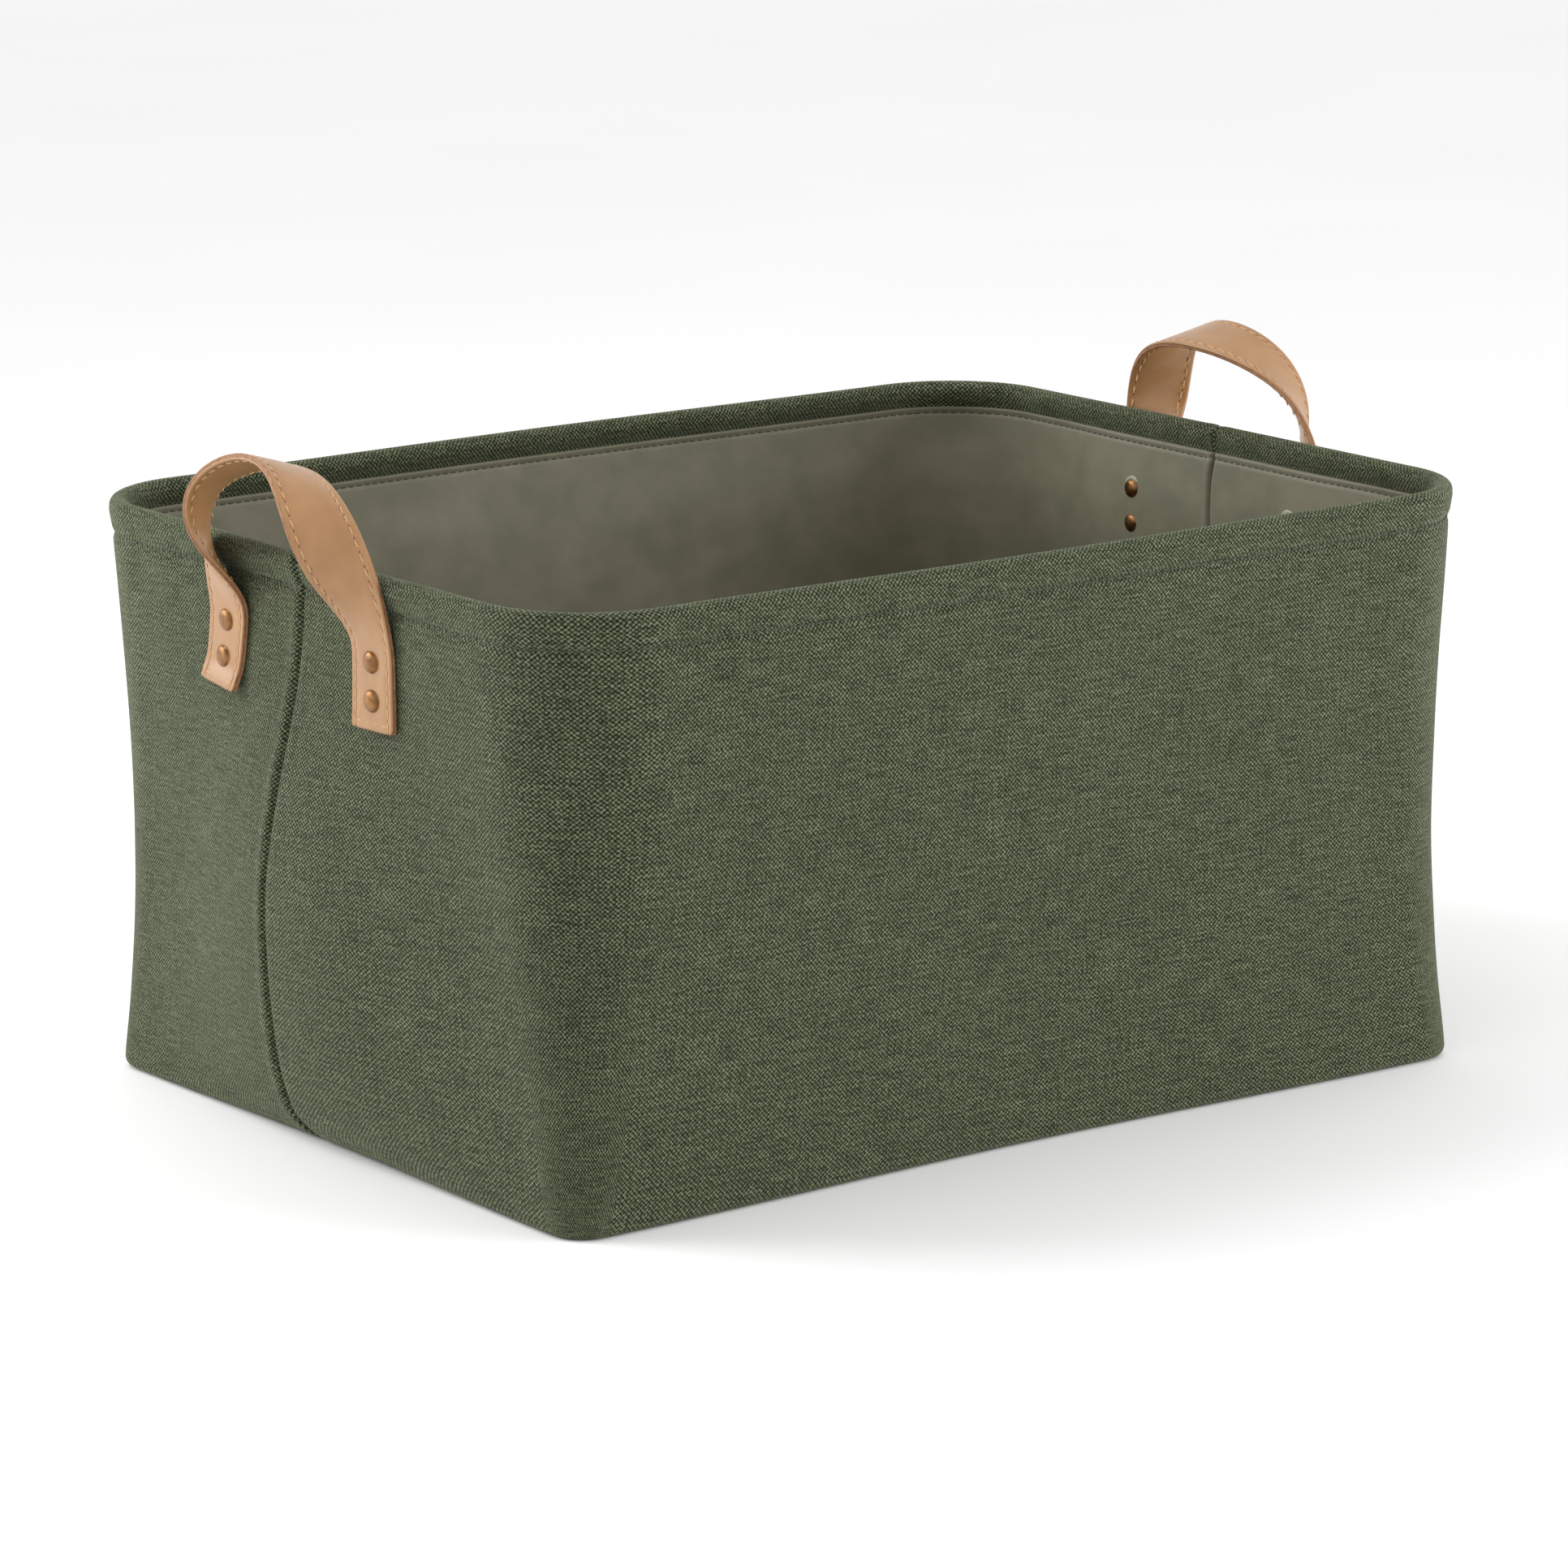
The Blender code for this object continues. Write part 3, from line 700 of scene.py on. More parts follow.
base_lining = base_cloth("base_lining", 4.7 * MM, 3.7 * MM, LINING_CLOTH * 0.75, 1.6 * MM, LINING,
                         "lining_base_panel")
base_outer = base_cloth("base_outer_cloth", CLOTH, BOTTOM_ROUND + BOTTOM_TURN + 0.3 * MM, CLOTH * 0.9, 0.0,
                        OLIVE_CLOTH, "outer_base_panel")
print("base: lining and outer cloth")

# %% [markdown]
# ## Strap leather
#
# The straps are faux leather: a smooth polyurethane skin with a very fine pebble, folded
# round a core and glued. The skin is semi-gloss, so it shows broad soft highlights. The
# cut edges are painted and darker. Needle holes are drawn as darker dots where the edge
# stitching goes in, which is painted shade in the holes. They come from the strap's own UV map,
# whose first number is the distance along the strap and whose second is the distance from its middle line.

# %% Leather, edge and thread
STRAP_WIDTH, STRAP_THICKNESS = 26.0 * MM, 2.6 * MM
STITCH_PITCH, STITCH_INSET = 5.3 * MM, 2.8 * MM
STITCH_LENGTH, STITCH_END_LENGTH = 4.2 * MM, 4.1 * MM       # along the edges, across the ends
STITCH_THICKNESS, STITCH_HEIGHT, STITCH_SUNK = 0.72 * MM, 0.34 * MM, 0.12 * MM


def faux_leather():
    material, tree, shader = new_material("tan_faux_leather")
    uv = add(tree, "UVMap", uv_map="cloth").outputs[0]
    split = add(tree, "SeparateXYZ", {0: uv})
    pebble = stretched_noise(tree, uv, 0.9 * MM, 0.7 * MM, 3.0)
    streak = stretched_noise(tree, uv, 12 * MM, 9.0 * MM, 3.0)
    cloud = stretched_noise(tree, uv, 30 * MM, 20 * MM, 3.0)
    tone = add(tree, "Math", {0: streak, 1: cloud}, operation="ADD")
    tone = add(tree, "MapRange", {0: tone.outputs[0], 1: 0.75, 2: 1.25, 3: 0.0, 4: 1.0})
    colour = ramp_of(tree, tone.outputs[0], ((0.0, swatch("#a0764d")), (1.0, swatch("#a97f55"))))
    turns = add(tree, "Math", {0: split.outputs[0], 1: 1 / STITCH_PITCH}, operation="MULTIPLY")
    part = add(tree, "Math", {0: turns.outputs[0]}, operation="FRACT")
    away = add(tree, "Math", {0: part.outputs[0], 1: 0.5}, operation="SUBTRACT")
    away = add(tree, "Math", {0: away.outputs[0]}, operation="ABSOLUTE")
    along = add(tree, "MapRange", {0: away.outputs[0], 1: 0.40, 2: 0.46, 3: 0.0, 4: 1.0})
    across = add(tree, "Math", {0: split.outputs[1]}, operation="ABSOLUTE")
    stitched_at = STRAP_WIDTH / 2 - STITCH_INSET
    across = add(tree, "Math", {0: across.outputs[0], 1: stitched_at}, operation="SUBTRACT")
    across = add(tree, "Math", {0: across.outputs[0]}, operation="ABSOLUTE")
    row = add(tree, "MapRange", {0: across.outputs[0], 1: 0.42 * MM, 2: 0.22 * MM, 3: 0.0, 4: 1.0})
    # Needle holes: each stitch end gets a darker dot, painted shade where the thread goes into the leather.
    needle_hole_shade = add(tree, "Math", {0: along.outputs[0], 1: row.outputs[0]}, operation="MULTIPLY")
    colour = mixed(tree, needle_hole_shade.outputs[0], colour, swatch("#6e4526"))
    tree.links.new(colour, shader.inputs["Base Color"])
    shader.inputs["Roughness"].default_value = 0.3
    shader.inputs["Specular IOR Level"].default_value = 0.5
    bump = add(tree, "Bump", {"Strength": 0.16, "Distance": 0.12 * MM, "Height": pebble})
    tree.links.new(bump.outputs[0], shader.inputs["Normal"])
    return material


def painted_edge():
    material, tree, shader = new_material("painted_strap_edge")
    uv = add(tree, "UVMap", uv_map="cloth").outputs[0]
    fibre = stretched_noise(tree, uv, 3 * MM, 0.4 * MM, 4.0)
    colour = ramp_of(tree, fibre, ((0.3, swatch("#80573a")), (0.7, swatch("#a3754d"))))
    tree.links.new(colour, shader.inputs["Base Color"])
    shader.inputs["Roughness"].default_value = 0.62
    bump = add(tree, "Bump", {"Strength": 0.4, "Distance": 0.2 * MM, "Height": fibre})
    tree.links.new(bump.outputs[0], shader.inputs["Normal"])
    return material


def sewing_thread(name, dark, light, roughness=0.6):
    """Twisted thread: fine noise on object coordinates."""
    material, tree, shader = new_material(name)
    place = add(tree, "TexCoord").outputs["Object"]
    fibre = add(tree, "TexNoise", {"Vector": place, "Scale": 1 / (0.4 * MM), "Detail": 2.0})
    colour = ramp_of(tree, fibre.outputs[0], ((0.3, swatch(dark)), (0.7, swatch(light))))
    tree.links.new(colour, shader.inputs["Base Color"])
    shader.inputs["Roughness"].default_value = roughness
    shader.inputs["Sheen Weight"].default_value = 0.2
    bump = add(tree, "Bump", {"Strength": 0.4, "Distance": 0.08 * MM, "Height": fibre.outputs[0]})
    tree.links.new(bump.outputs[0], shader.inputs["Normal"])
    return material


LEATHER = faux_leather()
LEATHER_EDGE = painted_edge()
TAN_THREAD = sewing_thread("tan_polyester_thread", "#b98d5f", "#dcb488")
OLIVE_THREAD = sewing_thread("olive_polyester_thread", "#20261a", "#434c36")
print("materials:", LEATHER.name, LEATHER_EDGE.name, TAN_THREAD.name, OLIVE_THREAD.name)

# %% [markdown]
# ## The route of a strap
#
# One strap is a single band. It lies flat on the wall at each riveted end, leaves the wall
# at the bend line, bulges out round the rim and turns as it climbs, so that its flat side
# faces up at the top, where a hand takes it. The route gives the strap's middle and its
# width direction at many stations, and those are then spaced evenly by length.

# %% Route of a strap
HANDLE_SPREAD = 102.0 * MM
TAB_LOW_Z = HEIGHT - 60.8 * MM
TAB_OFFSET = CLOTH / 2 + 0.6 * MM + STRAP_THICKNESS / 2
LOOP_RISE, LOOP_SWELL = 64.0 * MM, 0.29
LOOP_LEAN = {-1: 10.5 * MM, 1: 5.0 * MM}
LOOP_SKEW = {-1: 0.0, 1: 15.0 * MM}
LOOP_KICK, LOOP_TWIST, LOOP_TILT = 17.6 * MM, 1.4, 0.30
LOOP_START = 1.1 * MM
BACK_TAB_LEAN = {-1: 6.0 * MM, 1: 0.0}
BACK_TAB_LIFT = {-1: 2.2 * MM, 1: 0.6 * MM}
RIVET_Z = (HEIGHT - 34.1 * MM, HEIGHT - 49.3 * MM)


def tab_station(y, z, end):
    """Middle and width direction of a strap end that lies on the wall."""
    section = Section(z)
    step = MM
    middle = Vector((end * (section.end_x(y) + TAB_OFFSET), y, z))
    ahead = Vector((end * (section.end_x(y + step) + TAB_OFFSET), y + step, z))
    return middle, (ahead - middle).normalized()


def loop_middle(t, end):
    rise = math.sin(t)
    y = -HANDLE_SPREAD / 2 * math.cos(t) * (1 + LOOP_SWELL * rise * rise) + LOOP_SKEW[end] * smoothstep(rise)
    start, _ = tab_station(HANDLE_SPREAD / 2, BEND_Z, end)
    out = LOOP_KICK * rise * (1 - rise ** 3) + LOOP_LEAN[end] * smoothstep(rise)
    return Vector((start.x + end * out, y, BEND_Z + LOOP_START + LOOP_RISE * rise))


def loop_station(t, end):
    step = 0.002
    tangent = (loop_middle(t + step, end) - loop_middle(t - step, end)).normalized()
    flat = tangent.cross(Vector((1.0, 0.0, 0.0))).normalized()
    outward = Vector((end, 0.0, 0.0))
    outward = (outward - tangent * outward.dot(tangent)).normalized()
    turn = max(math.sin(t), 0.0) ** LOOP_TWIST * (math.pi / 2 + LOOP_TILT)
    return loop_middle(t, end), flat * math.cos(turn) + outward * math.sin(turn)


def back_tab_station(z, end):
    """The back tab was riveted a little crooked: its lower end leans back and lifts off the wall."""
    share = (BEND_Z - z) / (BEND_Z - TAB_LOW_Z)
    middle, across = tab_station(HANDLE_SPREAD / 2 + BACK_TAB_LEAN[end] * share ** 1.3, z, end)
    middle.x += end * BACK_TAB_LIFT[end] * smoothstep(share * 3 - 2)
    tip = Vector((0.0, 0.0, BACK_TAB_LEAN[end] / (BEND_Z - TAB_LOW_Z) * 0.5 * share))
    return middle, (across + tip).normalized()


def strap_route(end):
    """(middle, width direction) along a strap, from the front end to the back end."""
    raw = []
    for i in range(25):
        z = TAB_LOW_Z + (BEND_Z - TAB_LOW_Z) * i / 24
        raw.append(tab_station(-HANDLE_SPREAD / 2, z, end))
    for i in range(1, 120):
        raw.append(loop_station(math.pi * i / 120, end))
    for i in range(25):
        middle, across = back_tab_station(BEND_Z - (BEND_Z - TAB_LOW_Z) * i / 24, end)
        raw.append((middle, -across))
    return raw


# %% Even spacing and smoothing of the route
def relaxed(route, passes):
    """Softens the corner where the strap leaves the wall, as a thick band would."""
    for _ in range(passes):
        softened = [route[0]]
        for before, here, after in zip(route, route[1:], route[2:]):
            middle = here[0] * 0.5 + (before[0] + after[0]) * 0.25
            across = (here[1] * 0.5 + (before[1] + after[1]) * 0.25).normalized()
            softened.append((middle, across))
        softened.append(route[-1])
        route = softened
    return route


def evenly_spaced(route, spacing):
    """Stations at equal distances along the route: (middle, width direction, distance)."""
    lengths = [0.0]
    for before, after in zip(route, route[1:]):
        lengths.append(lengths[-1] + (after[0] - before[0]).length)
    count = round(lengths[-1] / spacing)
    stations = []
    index = 0
    for i in range(count + 1):
        distance = lengths[-1] * i / count
        while index < len(route) - 2 and lengths[index + 1] < distance:
            index += 1
        share = (distance - lengths[index]) / (lengths[index + 1] - lengths[index])
        middle = route[index][0].lerp(route[index + 1][0], share)
        across = route[index][1].lerp(route[index + 1][1], share).normalized()
        stations.append((middle, across, distance))
    return stations


STRAP_ROUTES = {end: evenly_spaced(relaxed(strap_route(end), 6), 1.3 * MM) for end in (-1, 1)}
STRAP_LENGTH = STRAP_ROUTES[-1][-1][2]
print("each strap is %.0f mm long" % (STRAP_LENGTH / MM))

# %% [markdown]
# ## The strap
#
# The strap's cross-section is a flat band with small rounded edges and a groove along each
# edge where its two layers are glued together. The section is swept along the route as a
# mapped grid, one column for each point of the section. A stitched row is pulled into the
# leather, so there is a shallow dimple line under it. Each riveted end stops in a cut
# edge with rounded corners, and the leather dishes a little around each rivet.

# %% Section of a strap
EDGE_ROUND = 0.75 * MM


def strap_section():
    """(across, out, is_edge) round the band, from the middle of the outer face."""
    half, thick = STRAP_WIDTH / 2, STRAP_THICKNESS / 2
    face = [0.0, 0.2, 0.4, 0.56, 0.68, 0.74, 0.78, 0.82, 0.88, (half - EDGE_ROUND) / half]
    quarter = [(half * s, thick, False) for s in face]
    for i in range(1, 4):
        angle = math.pi / 2 * i / 3
        quarter.append((half - EDGE_ROUND + EDGE_ROUND * math.sin(angle),
                        thick - EDGE_ROUND + EDGE_ROUND * math.cos(angle), True))
    quarter.append((half - 0.22 * MM, 0.12 * MM, True))
    lower = [(a, -o, e) for a, o, e in reversed(quarter)]
    right = quarter + lower
    left = [(-a, o, e) for a, o, e in reversed(right[1:-1])]
    return right + left


SECTION = strap_section()
print("strap section:", len(SECTION), "points")


# %% Sweep a strap
def end_rounding(across):
    """How far the strap's cut end steps back near its corners."""
    half = STRAP_WIDTH / 2
    radius = 1.8 * MM
    inside = abs(across) - (half - radius)
    if inside <= 0:
        return 0.0
    return radius - math.sqrt(max(radius ** 2 - inside ** 2, 0.0))


def strap_surface(end, distance_index):
    """(middle, width direction, direction ahead, face direction, distance) at one station."""
    middle, width_way, distance = STRAP_ROUTES[end][distance_index]
    before = STRAP_ROUTES[end][max(distance_index - 1, 0)][0]
    after = STRAP_ROUTES[end][min(distance_index + 1, len(STRAP_ROUTES[end]) - 1)][0]
    ahead = (after - before).normalized()
    face = ahead.cross(width_way).normalized()
    if end < 0:
        face = -face
    return middle, width_way, ahead, face, distance


def outer_face_sign(end):
    """+1 where ahead x width points away from the wall."""
    face = strap_surface(end, 2)[3]
    return 1.0 if face.x * end > 0 else -1.0


def leather_relief(distance, across):
    """Dip of the outer face along the stitched rows and round the rivets."""
    row = abs(abs(across) - (STRAP_WIDTH / 2 - STITCH_INSET))
    dip = -0.3 * MM * bell(row, 0.8 * MM)
    crown = 0.22 * MM * (1 - (2 * across / STRAP_WIDTH) ** 2)
    from_end = min(distance, STRAP_LENGTH - distance)
    for rivet_z in RIVET_Z:
        along = from_end - (rivet_z - TAB_LOW_Z)
        dip -= 0.3 * MM * bell(math.hypot(along, across), 6.5 * MM)
    return dip + crown


def strap(end, name, stands_for):
    stations = STRAP_ROUTES[end]
    sign = outer_face_sign(end)
    count = len(SECTION)
    last = len(stations) - 1

    def place(column, row):
        across, out = SECTION[column % count][:2]
        middle, width_way, ahead, face, distance = strap_surface(end, row)
        relief = leather_relief(distance, across)
        out = out + (relief if out > 0.5 * MM else (-relief * 0.4 if out < -0.5 * MM else 0.0))
        from_end = min(distance, STRAP_LENGTH - distance)
        back = end_rounding(across) * max(1 - from_end / (4 * MM), 0.0)
        back *= 1.0 if row < last / 2 else -1.0
        return middle + width_way * across + face * sign * out + ahead * back

    def unwrap(column, row):
        across, out, edge = SECTION[column % count]
        side = across if not edge else across + out * 0.5
        return (stations[row][2], side)

    bm = mapped_grid(count, last, place, unwrap)
    bmesh.ops.remove_doubles(bm, verts=bm.verts, dist=0.001 * MM)
    ends = [edge for edge in bm.edges if edge.is_boundary]
    caps = bmesh.ops.holes_fill(bm, edges=ends, sides=0)["faces"]
    inset = bmesh.ops.inset_individual(bm, faces=caps, thickness=0.5 * MM, depth=0.0)
    for face in caps + inset["faces"]:
        face.material_index = 1
    bmesh.ops.recalc_face_normals(bm, faces=bm.faces)
    obj = piece_from(name, bm, [LEATHER, LEATHER_EDGE])
    mark_edges(obj)
    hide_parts(*stands_for)
    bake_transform(obj)
    return obj


def mark_edges(obj):
    """Gives the cut edges the painted-edge material, judged by how far a face is from the middle."""
    layer = obj.data.uv_layers["cloth"].data
    limit = STRAP_WIDTH / 2 - 0.55 * EDGE_ROUND
    for polygon in obj.data.polygons:
        spots = [layer[index].uv.y for index in polygon.loop_indices]
        if min(abs(s) for s in spots) > limit:
            polygon.material_index = 1


left_strap = strap(-1, "left_strap",
                   ("left_handle_loop", "left_handle_front_tab", "left_handle_back_tab"))
strap(1, "right_strap",
      ("right_handle_loop", "right_handle_front_tab", "right_handle_back_tab"))
print("straps:", len(left_strap.data.polygons), "faces each")

# %% [markdown]
# ## Strap stitching
#
# The strap is sewn along both edges with thick tan thread. Each stitch is a short rounded
# bead that dives into the leather at both ends. The same little bead is copied all along
# the route, so it has only a few dozen faces. The stitches are one piece per strap.


# %% Stitch beads
def stitch_bead(bm, middle, along, out, length, thickness, height):
    """One stitch: a low bead with tapered ends, lying along a surface."""
    side = out.cross(along).normalized()
    made = bmesh.ops.create_uvsphere(bm, u_segments=6, v_segments=6, radius=1.0)
    frame_of = Matrix((side, out, along)).transposed().to_4x4()
    size = Matrix.Diagonal((thickness / 2, height, length / 2, 1.0))
    bmesh.ops.transform(bm, matrix=Matrix.Translation(middle) @ frame_of @ size, verts=made["verts"])


def strap_stitches(end, name):
    stations = STRAP_ROUTES[end]
    sign = outer_face_sign(end)
    bm = bmesh.new()
    spacing = STRAP_LENGTH / (len(stations) - 1)
    count = int((STRAP_LENGTH - 2.6 * MM) / STITCH_PITCH + 0.5)

    def on_strap(distance, across, out):
        index = min(int(distance / spacing), len(stations) - 2)
        share = distance / spacing - index
        found = []
        for i in (index, index + 1):
            middle, width_way, ahead, face = strap_surface(end, i)[:4]
            found.append((middle + width_way * across + face * sign * out, ahead, face * sign))
        spot = found[0][0].lerp(found[1][0], share)
        return spot, found[0][1].lerp(found[1][1], share), found[0][2].lerp(found[1][2], share)

    for i in range(count + 1):
        distance = (i + 0.5) * STITCH_PITCH
        if not 2.4 * MM < distance < STRAP_LENGTH - 2.4 * MM:
            continue
        for across in (STITCH_INSET - STRAP_WIDTH / 2, STRAP_WIDTH / 2 - STITCH_INSET):
            for face_side in (1.0, -1.0):
                if face_side < 0 and min(distance, STRAP_LENGTH - distance) < BEND_Z - TAB_LOW_Z + 4 * MM:
                    continue
                shift = 0.0 if face_side > 0 else 0.15 * MM
                out = face_side * (STRAP_THICKNESS / 2 - STITCH_SUNK + shift)
                spot, ahead, face = on_strap(distance, across, out)
                stitch_bead(bm, spot, ahead, face * face_side,
                            STITCH_LENGTH, STITCH_THICKNESS, STITCH_HEIGHT)
    inner = STRAP_WIDTH / 2 - STITCH_INSET
    for distance in (2.9 * MM, STRAP_LENGTH - 2.9 * MM):
        for i in range(4):
            across = -inner + inner * 2 * (i + 0.5) / 4
            spot, ahead, face = on_strap(distance, across, STRAP_THICKNESS / 2 - STITCH_SUNK)
            width_way = ahead.cross(face).normalized()
            stitch_bead(bm, spot, width_way, face,
                        STITCH_END_LENGTH, STITCH_THICKNESS, STITCH_HEIGHT)
    bmesh.ops.recalc_face_normals(bm, faces=bm.faces)
    obj = piece_from(name, bm, [TAN_THREAD])
    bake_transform(obj)
    return obj


left_stitches = strap_stitches(-1, "left_strap_stitches")
strap_stitches(1, "right_strap_stitches")
print("stitches on a strap:", len(left_stitches.data.polygons) // 36)

# %% [markdown]
# ## Rivets
#
# Double-cap rivets hold the straps: a domed brass cap outside, a post through everything,
# and a smaller cap inside on a clear washer. A cap is stamped from sheet, so it is a
# shallow dome with a rolled edge. Its profile is spun round the rivet's axis, and each
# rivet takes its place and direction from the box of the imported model's cap.


# %% Antique brass and clear washer
def antique_brass():
    """Plated and darkened brass: warm metal in random browner and brighter patches."""
    material, tree, shader = new_material("antique_brass_plate")
    place = add(tree, "TexCoord").outputs["Object"]
    cloud = add(tree, "TexNoise", {"Vector": place, "Scale": 1 / (3.0 * MM), "Detail": 4.0})
    fine = add(tree, "TexNoise", {"Vector": place, "Scale": 1 / (0.35 * MM), "Detail": 2.0})
    colour = ramp_of(tree, cloud.outputs[0], ((0.3, swatch("#6d4c30")), (0.7, swatch("#96704a"))))
    tree.links.new(colour, shader.inputs["Base Color"])
    shader.inputs["Metallic"].default_value = 1.0
    rough = add(tree, "MapRange", {0: cloud.outputs[0], 1: 0.3, 2: 0.7, 3: 0.30, 4: 0.42})
    tree.links.new(rough.outputs[0], shader.inputs["Roughness"])
    bump = add(tree, "Bump", {"Strength": 0.1, "Distance": 0.05 * MM, "Height": fine.outputs[0]})
    tree.links.new(bump.outputs[0], shader.inputs["Normal"])
    return material


def clear_washer_plastic():
    """Soft translucent polyurethane disc: pale, cloudy and slightly glossy."""
    material, tree, shader = new_material("clear_polyurethane_washer")
    place = add(tree, "TexCoord").outputs["Object"]
    cloud = add(tree, "TexNoise", {"Vector": place, "Scale": 1 / (4.0 * MM), "Detail": 3.0})
    colour = ramp_of(tree, cloud.outputs[0], ((0.3, swatch("#a3a08e")), (0.7, swatch("#bbb8a6"))))
    tree.links.new(colour, shader.inputs["Base Color"])
    shader.inputs["Roughness"].default_value = 0.28
    shader.inputs["Transmission Weight"].default_value = 0.2
    shader.inputs["IOR"].default_value = 1.48
    bump = add(tree, "Bump", {"Strength": 0.1, "Distance": 0.2 * MM, "Height": cloud.outputs[0]})
    tree.links.new(bump.outputs[0], shader.inputs["Normal"])
    return material


BRASS = antique_brass()
CLEAR = clear_washer_plastic()
print("materials:", BRASS.name, CLEAR.name)


# %% Rivet shapes
def spun(name, profile, middle, direction, material, steps=40):
    """Spins (radius, height) points round the rivet's axis."""
    bm = bmesh.new()
    verts = [bm.verts.new((radius, 0.0, height)) for radius, height in profile]
    edges = [bm.edges.new(pair) for pair in zip(verts, verts[1:])]
    bmesh.ops.spin(bm, geom=verts + edges, cent=(0, 0, 0), axis=(0, 0, 1), angle=math.tau, steps=steps,
                   use_merge=True)
    bmesh.ops.remove_doubles(bm, verts=bm.verts, dist=0.002 * MM)
    bmesh.ops.recalc_face_normals(bm, faces=bm.faces)
    turned = direction.to_track_quat("Z", "Y").to_matrix().to_4x4()
    bmesh.ops.transform(bm, matrix=Matrix.Translation(middle) @ turned, verts=bm.verts)
    return piece_from(name, bm, [material])


def dome(radius, height, edge, reach):
    """Stamped cap: closed at the crown, rolled at the edge, open underneath down to reach."""
    points = []
    for i in range(11):
        share = i / 10
        points.append((radius * 0.94 * math.sin(share * math.pi / 2),
                       edge + (height - edge) * math.cos(share * math.pi / 2) ** 0.8))
    for i in range(1, 7):
        angle = math.pi * i / 6
        points.append((radius * 0.94 + radius * 0.06 * math.sin(angle),
                       edge / 2 + edge / 2 * math.cos(angle)))
    points.append((radius * 0.4, 0.0))
    points.append((radius * 0.3, -reach))
    points.append((0.0, -reach))
    return points


def cap_place(node):
    """Middle of a rivet node and the wall's outward direction there."""
    low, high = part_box(node)
    middle = (low + high) / 2
    end = -1 if middle.x < 0 else 1
    if middle.y > 0:
        middle.y = back_tab_station(middle.z, end)[0].y
    _, across = tab_station(middle.y, middle.z, end)
    up = tab_station(middle.y, middle.z + MM, end)[0] - tab_station(middle.y, middle.z - MM, end)[0]
    out = across.cross(up).normalized()
    return middle, out if out.x * end > 0 else -out


RIVETS = [(side, leg, level) for side in ("left", "right") for leg in ("front", "back")
          for level in ("upper", "lower")]
for side, leg, level in RIVETS:
    place_name = side + "_" + leg + "_" + level
    middle, out = cap_place("rivet_cap_" + place_name)
    y, z, end = middle.y, middle.z, (-1 if side == "left" else 1)
    surface = tab_station(y, z, end)[0] + out * (STRAP_THICKNESS / 2 - 0.15 * MM)
    cap = spun("rivet_outer_cap_" + place_name, dome(4.5 * MM, 2.0 * MM, 0.55 * MM, 0.9 * MM),
               surface, out, BRASS)
    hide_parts("rivet_cap_" + place_name)
    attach(cap, "rim")
    lining_face = Vector((end * (Section(z).end_x(y) + LINING_OFFSET), y, z)) - out * 0.6 * MM
    washer = spun("rivet_clear_washer_" + place_name,
                  [(1.6 * MM, 0.0), (5.2 * MM, 0.0), (5.6 * MM, 0.3 * MM), (5.5 * MM, 0.65 * MM),
                   (5.0 * MM, 0.85 * MM), (1.6 * MM, 0.9 * MM), (1.6 * MM, 0.0)], lining_face, -out, CLEAR)
    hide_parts("rivet_washer_" + place_name)
    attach(washer, "rim")
    inner = spun("rivet_inner_cap_" + place_name, dome(4.1 * MM, 1.7 * MM, 0.5 * MM, 2.2 * MM),
                 lining_face - out * 0.85 * MM, -out, BRASS)
    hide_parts("rivet_post_" + place_name)
    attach(inner, "rim")
print("rivets:", len(RIVETS))

# %% [markdown]
# ## Stitched rows round the rim
#
# One row of olive thread runs round the outside under the rolled hem. Another holds the
# lining's folded edge on the inside. Both ride with the rim. The stitches follow the same
# wall function, so they run along the groove that the relief made for them.


# %% Rim stitches
def around_wall(z, offset, spacing, seam=0.0):
    """Even points round the whole wall at one height, each with its outward direction."""
    loop = [wall_point(s, -1, z, offset, seam) for s in WALK]
    loop += [wall_point(s, 1, z, offset, seam) for s in reversed(WALK)]
    lengths = [0.0]
    for before, after in zip(loop, loop[1:]):
        lengths.append(lengths[-1] + (after - before).length)
    count = round(lengths[-1] / spacing)
    points = []
    index = 0
    for i in range(count):
        distance = lengths[-1] * (i + 0.5) / count
        while lengths[index + 1] < distance:
            index += 1
        span = max(lengths[index + 1] - lengths[index], 1e-9)
        spot = loop[index].lerp(loop[index + 1], (distance - lengths[index]) / span)
        along = (loop[index + 1] - loop[index]).normalized()
        points.append((spot, along, along.cross(Vector((0, 0, 1)))))
    return points


def stitched_row(name, z, offset, inward, material):
    bm = bmesh.new()
    for spot, along, out in around_wall(z, offset, 4.0 * MM):
        if inward:
            out = -out
        stitch_bead(bm, spot, along, out, 3.3 * MM, 0.75 * MM, 0.36 * MM)
    bmesh.ops.recalc_face_normals(bm, faces=bm.faces)
    row = piece_from(name, bm, [material])
    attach(row, "rim")
    return row


hem_row = stitched_row("hem_stitches", HEM_STITCH_Z, CLOTH / 2 - 1.05 * MM, False,
                       OLIVE_THREAD)
stitched_row("lining_stitches", LINING_STITCH_Z, LINING_OFFSET - LINING_CLOTH * 0.375, True,
             OLIVE_THREAD)
print("rim rows: %d stitches outside" % (len(hem_row.data.polygons) // 36))

# %% [markdown]
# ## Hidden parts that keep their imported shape
#
# The base board, the wire hoop and its sleeve already have the right shape in the packed
# model, so they stay and only get materials: grey chipboard and drawn, zinc-plated wire.


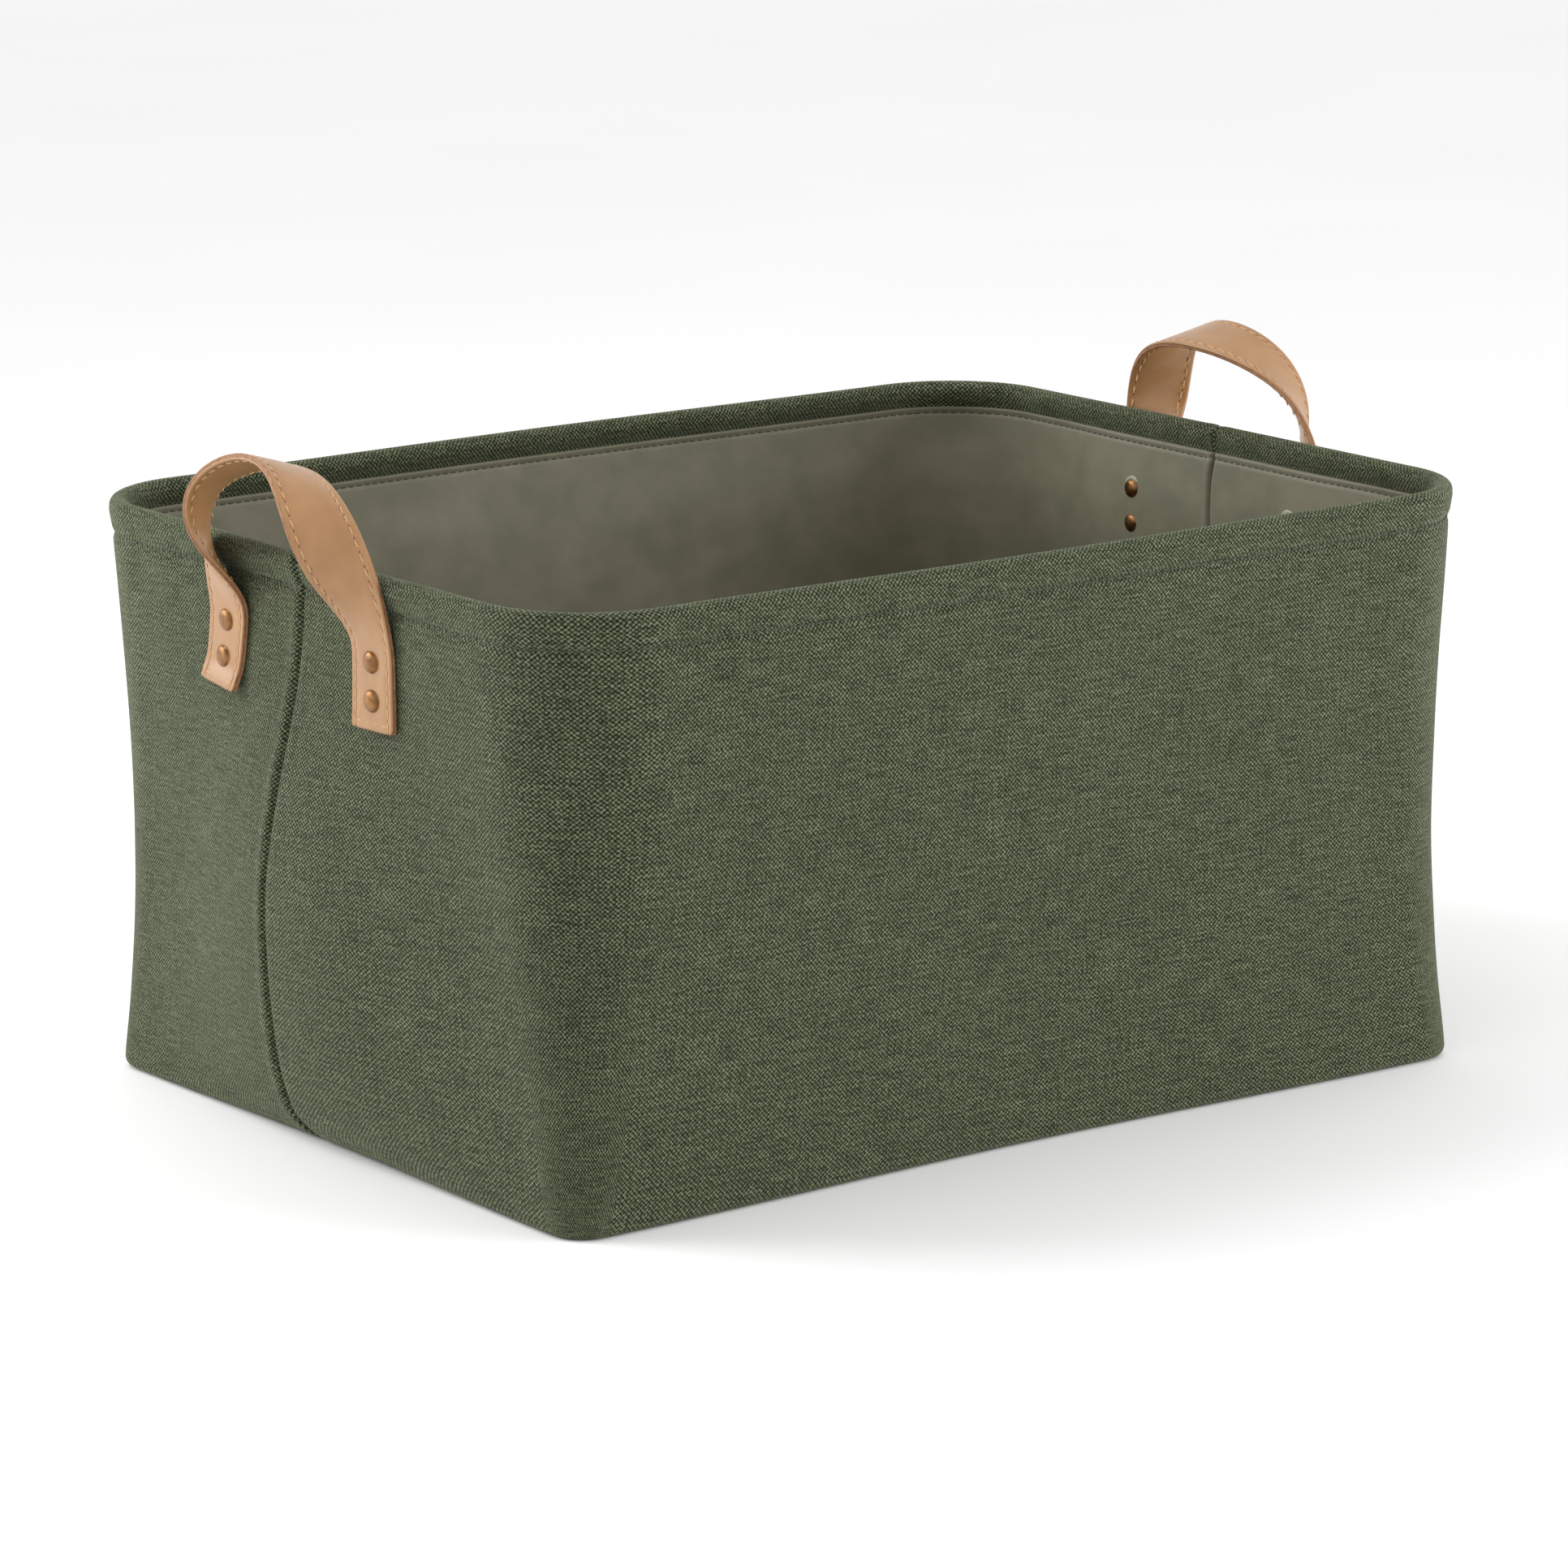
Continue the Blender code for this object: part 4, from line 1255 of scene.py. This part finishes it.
# %% Board and wire
def grey_board():
    """Recycled chipboard: matt, fibrous and speckled."""
    material, tree, shader = new_material("grey_chipboard")
    place = add(tree, "TexCoord").outputs["Object"]
    speck = add(tree, "TexNoise", {"Vector": place, "Scale": 1 / (1.6 * MM), "Detail": 5.0})
    colour = ramp_of(tree, speck.outputs[0], ((0.35, swatch("#79756b")), (0.65, swatch("#a39e92"))))
    tree.links.new(colour, shader.inputs["Base Color"])
    shader.inputs["Roughness"].default_value = 0.9
    bump = add(tree, "Bump", {"Strength": 0.3, "Distance": 0.2 * MM, "Height": speck.outputs[0]})
    tree.links.new(bump.outputs[0], shader.inputs["Normal"])
    return material


def zinc_wire():
    """Drawn spring wire with a dull zinc plating."""
    material, tree, shader = new_material("zinc_plated_spring_wire")
    place = add(tree, "TexCoord").outputs["Object"]
    cloud = add(tree, "TexNoise", {"Vector": place, "Scale": 1 / (6.0 * MM), "Detail": 3.0})
    colour = ramp_of(tree, cloud.outputs[0], ((0.3, swatch("#9a9c9e")), (0.7, swatch("#bfc1c2"))))
    tree.links.new(colour, shader.inputs["Base Color"])
    shader.inputs["Metallic"].default_value = 1.0
    shader.inputs["Roughness"].default_value = 0.38
    return material


KEPT = {"base_board": grey_board(), "rim_hoop": zinc_wire()}
KEPT["rim_ferrule"] = KEPT["rim_hoop"]
for node, material in KEPT.items():
    for slot in bpy.data.objects[node].material_slots:
        slot.material = material
print("kept from the packed model:", ", ".join(KEPT))

# %% [markdown]
# ## Walls baked in place
#
# The walls' placement is baked into their meshes.

# %% Bake the walls in place
for wall in (front_cloth, back_cloth, front_lining, back_lining):
    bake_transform(wall)

# %% [markdown]
# ## Floor, light and exposure
#
# The bin stands on a plain pale floor. Two broad banks of light stand to the left and to
# the right, and the near corner between them stays darker, which rounds the bin. The left
# bank is the nearer one: it throws each strap's soft shadow to the right and models the
# weave. A small third bank above lights the near strap and the rim. A bright white
# surround fills the rest.


# %% Studio
def studio_floor():
    material, tree, shader = new_material("pale_studio_floor")
    place = add(tree, "TexCoord").outputs["Object"]
    faint = add(tree, "TexNoise", {"Vector": place, "Scale": 3.0, "Detail": 2.0})
    colour = ramp_of(tree, faint.outputs[0], ((0.3, swatch("#fbfbfb")), (0.7, swatch("#fdfdfd"))))
    tree.links.new(colour, shader.inputs["Base Color"])
    shader.inputs["Roughness"].default_value = 0.9
    shader.inputs["Specular IOR Level"].default_value = 0.1
    bm = bmesh.new()
    bmesh.ops.create_grid(bm, x_segments=1, y_segments=1, size=40.0)
    floor = piece_from("studio_floor", bm, [material])
    return floor


def studio_world(strength):
    world = bpy.data.worlds.new("light_tent")
    world.use_nodes = True
    world.node_tree.nodes["Background"].inputs[0].default_value = swatch("#ffffff")
    world.node_tree.nodes["Background"].inputs[1].default_value = strength
    bpy.context.scene.world = world


def near_bank(name, place, aim, size, power):
    """A rectangular soft box close to the bin, so that its light fades along the front."""
    data = bpy.data.lights.new(name, "AREA")
    data.shape = "RECTANGLE"
    data.size, data.size_y = size
    data.energy = power
    lamp = bpy.data.objects.new(name, data)
    bpy.context.scene.collection.objects.link(lamp)
    back = Vector(place) - Vector(aim)
    lamp.matrix_world = Matrix.Translation(place) @ back.to_track_quat("Z", "Y").to_matrix().to_4x4()
    return lamp


studio_floor()
studio_world(0.86)
near_bank("left_bank", (-1.08, 0.98, 0.62), (-0.2, 0.0, 0.12), (0.8, 0.8), 10.0)
near_bank("top_bank", (-0.67, 0.39, 1.3), (-0.25, 0.0, 0.27), (0.4, 0.4), 3.0)
near_bank("right_bank", (1.35, -1.55, 0.6), (0.1, 0.0, 0.12), (1.3, 1.0), 19.0)
bpy.context.scene.view_settings.view_transform = "Standard"
bpy.context.scene.view_settings.exposure = 0.12
print("studio ready")
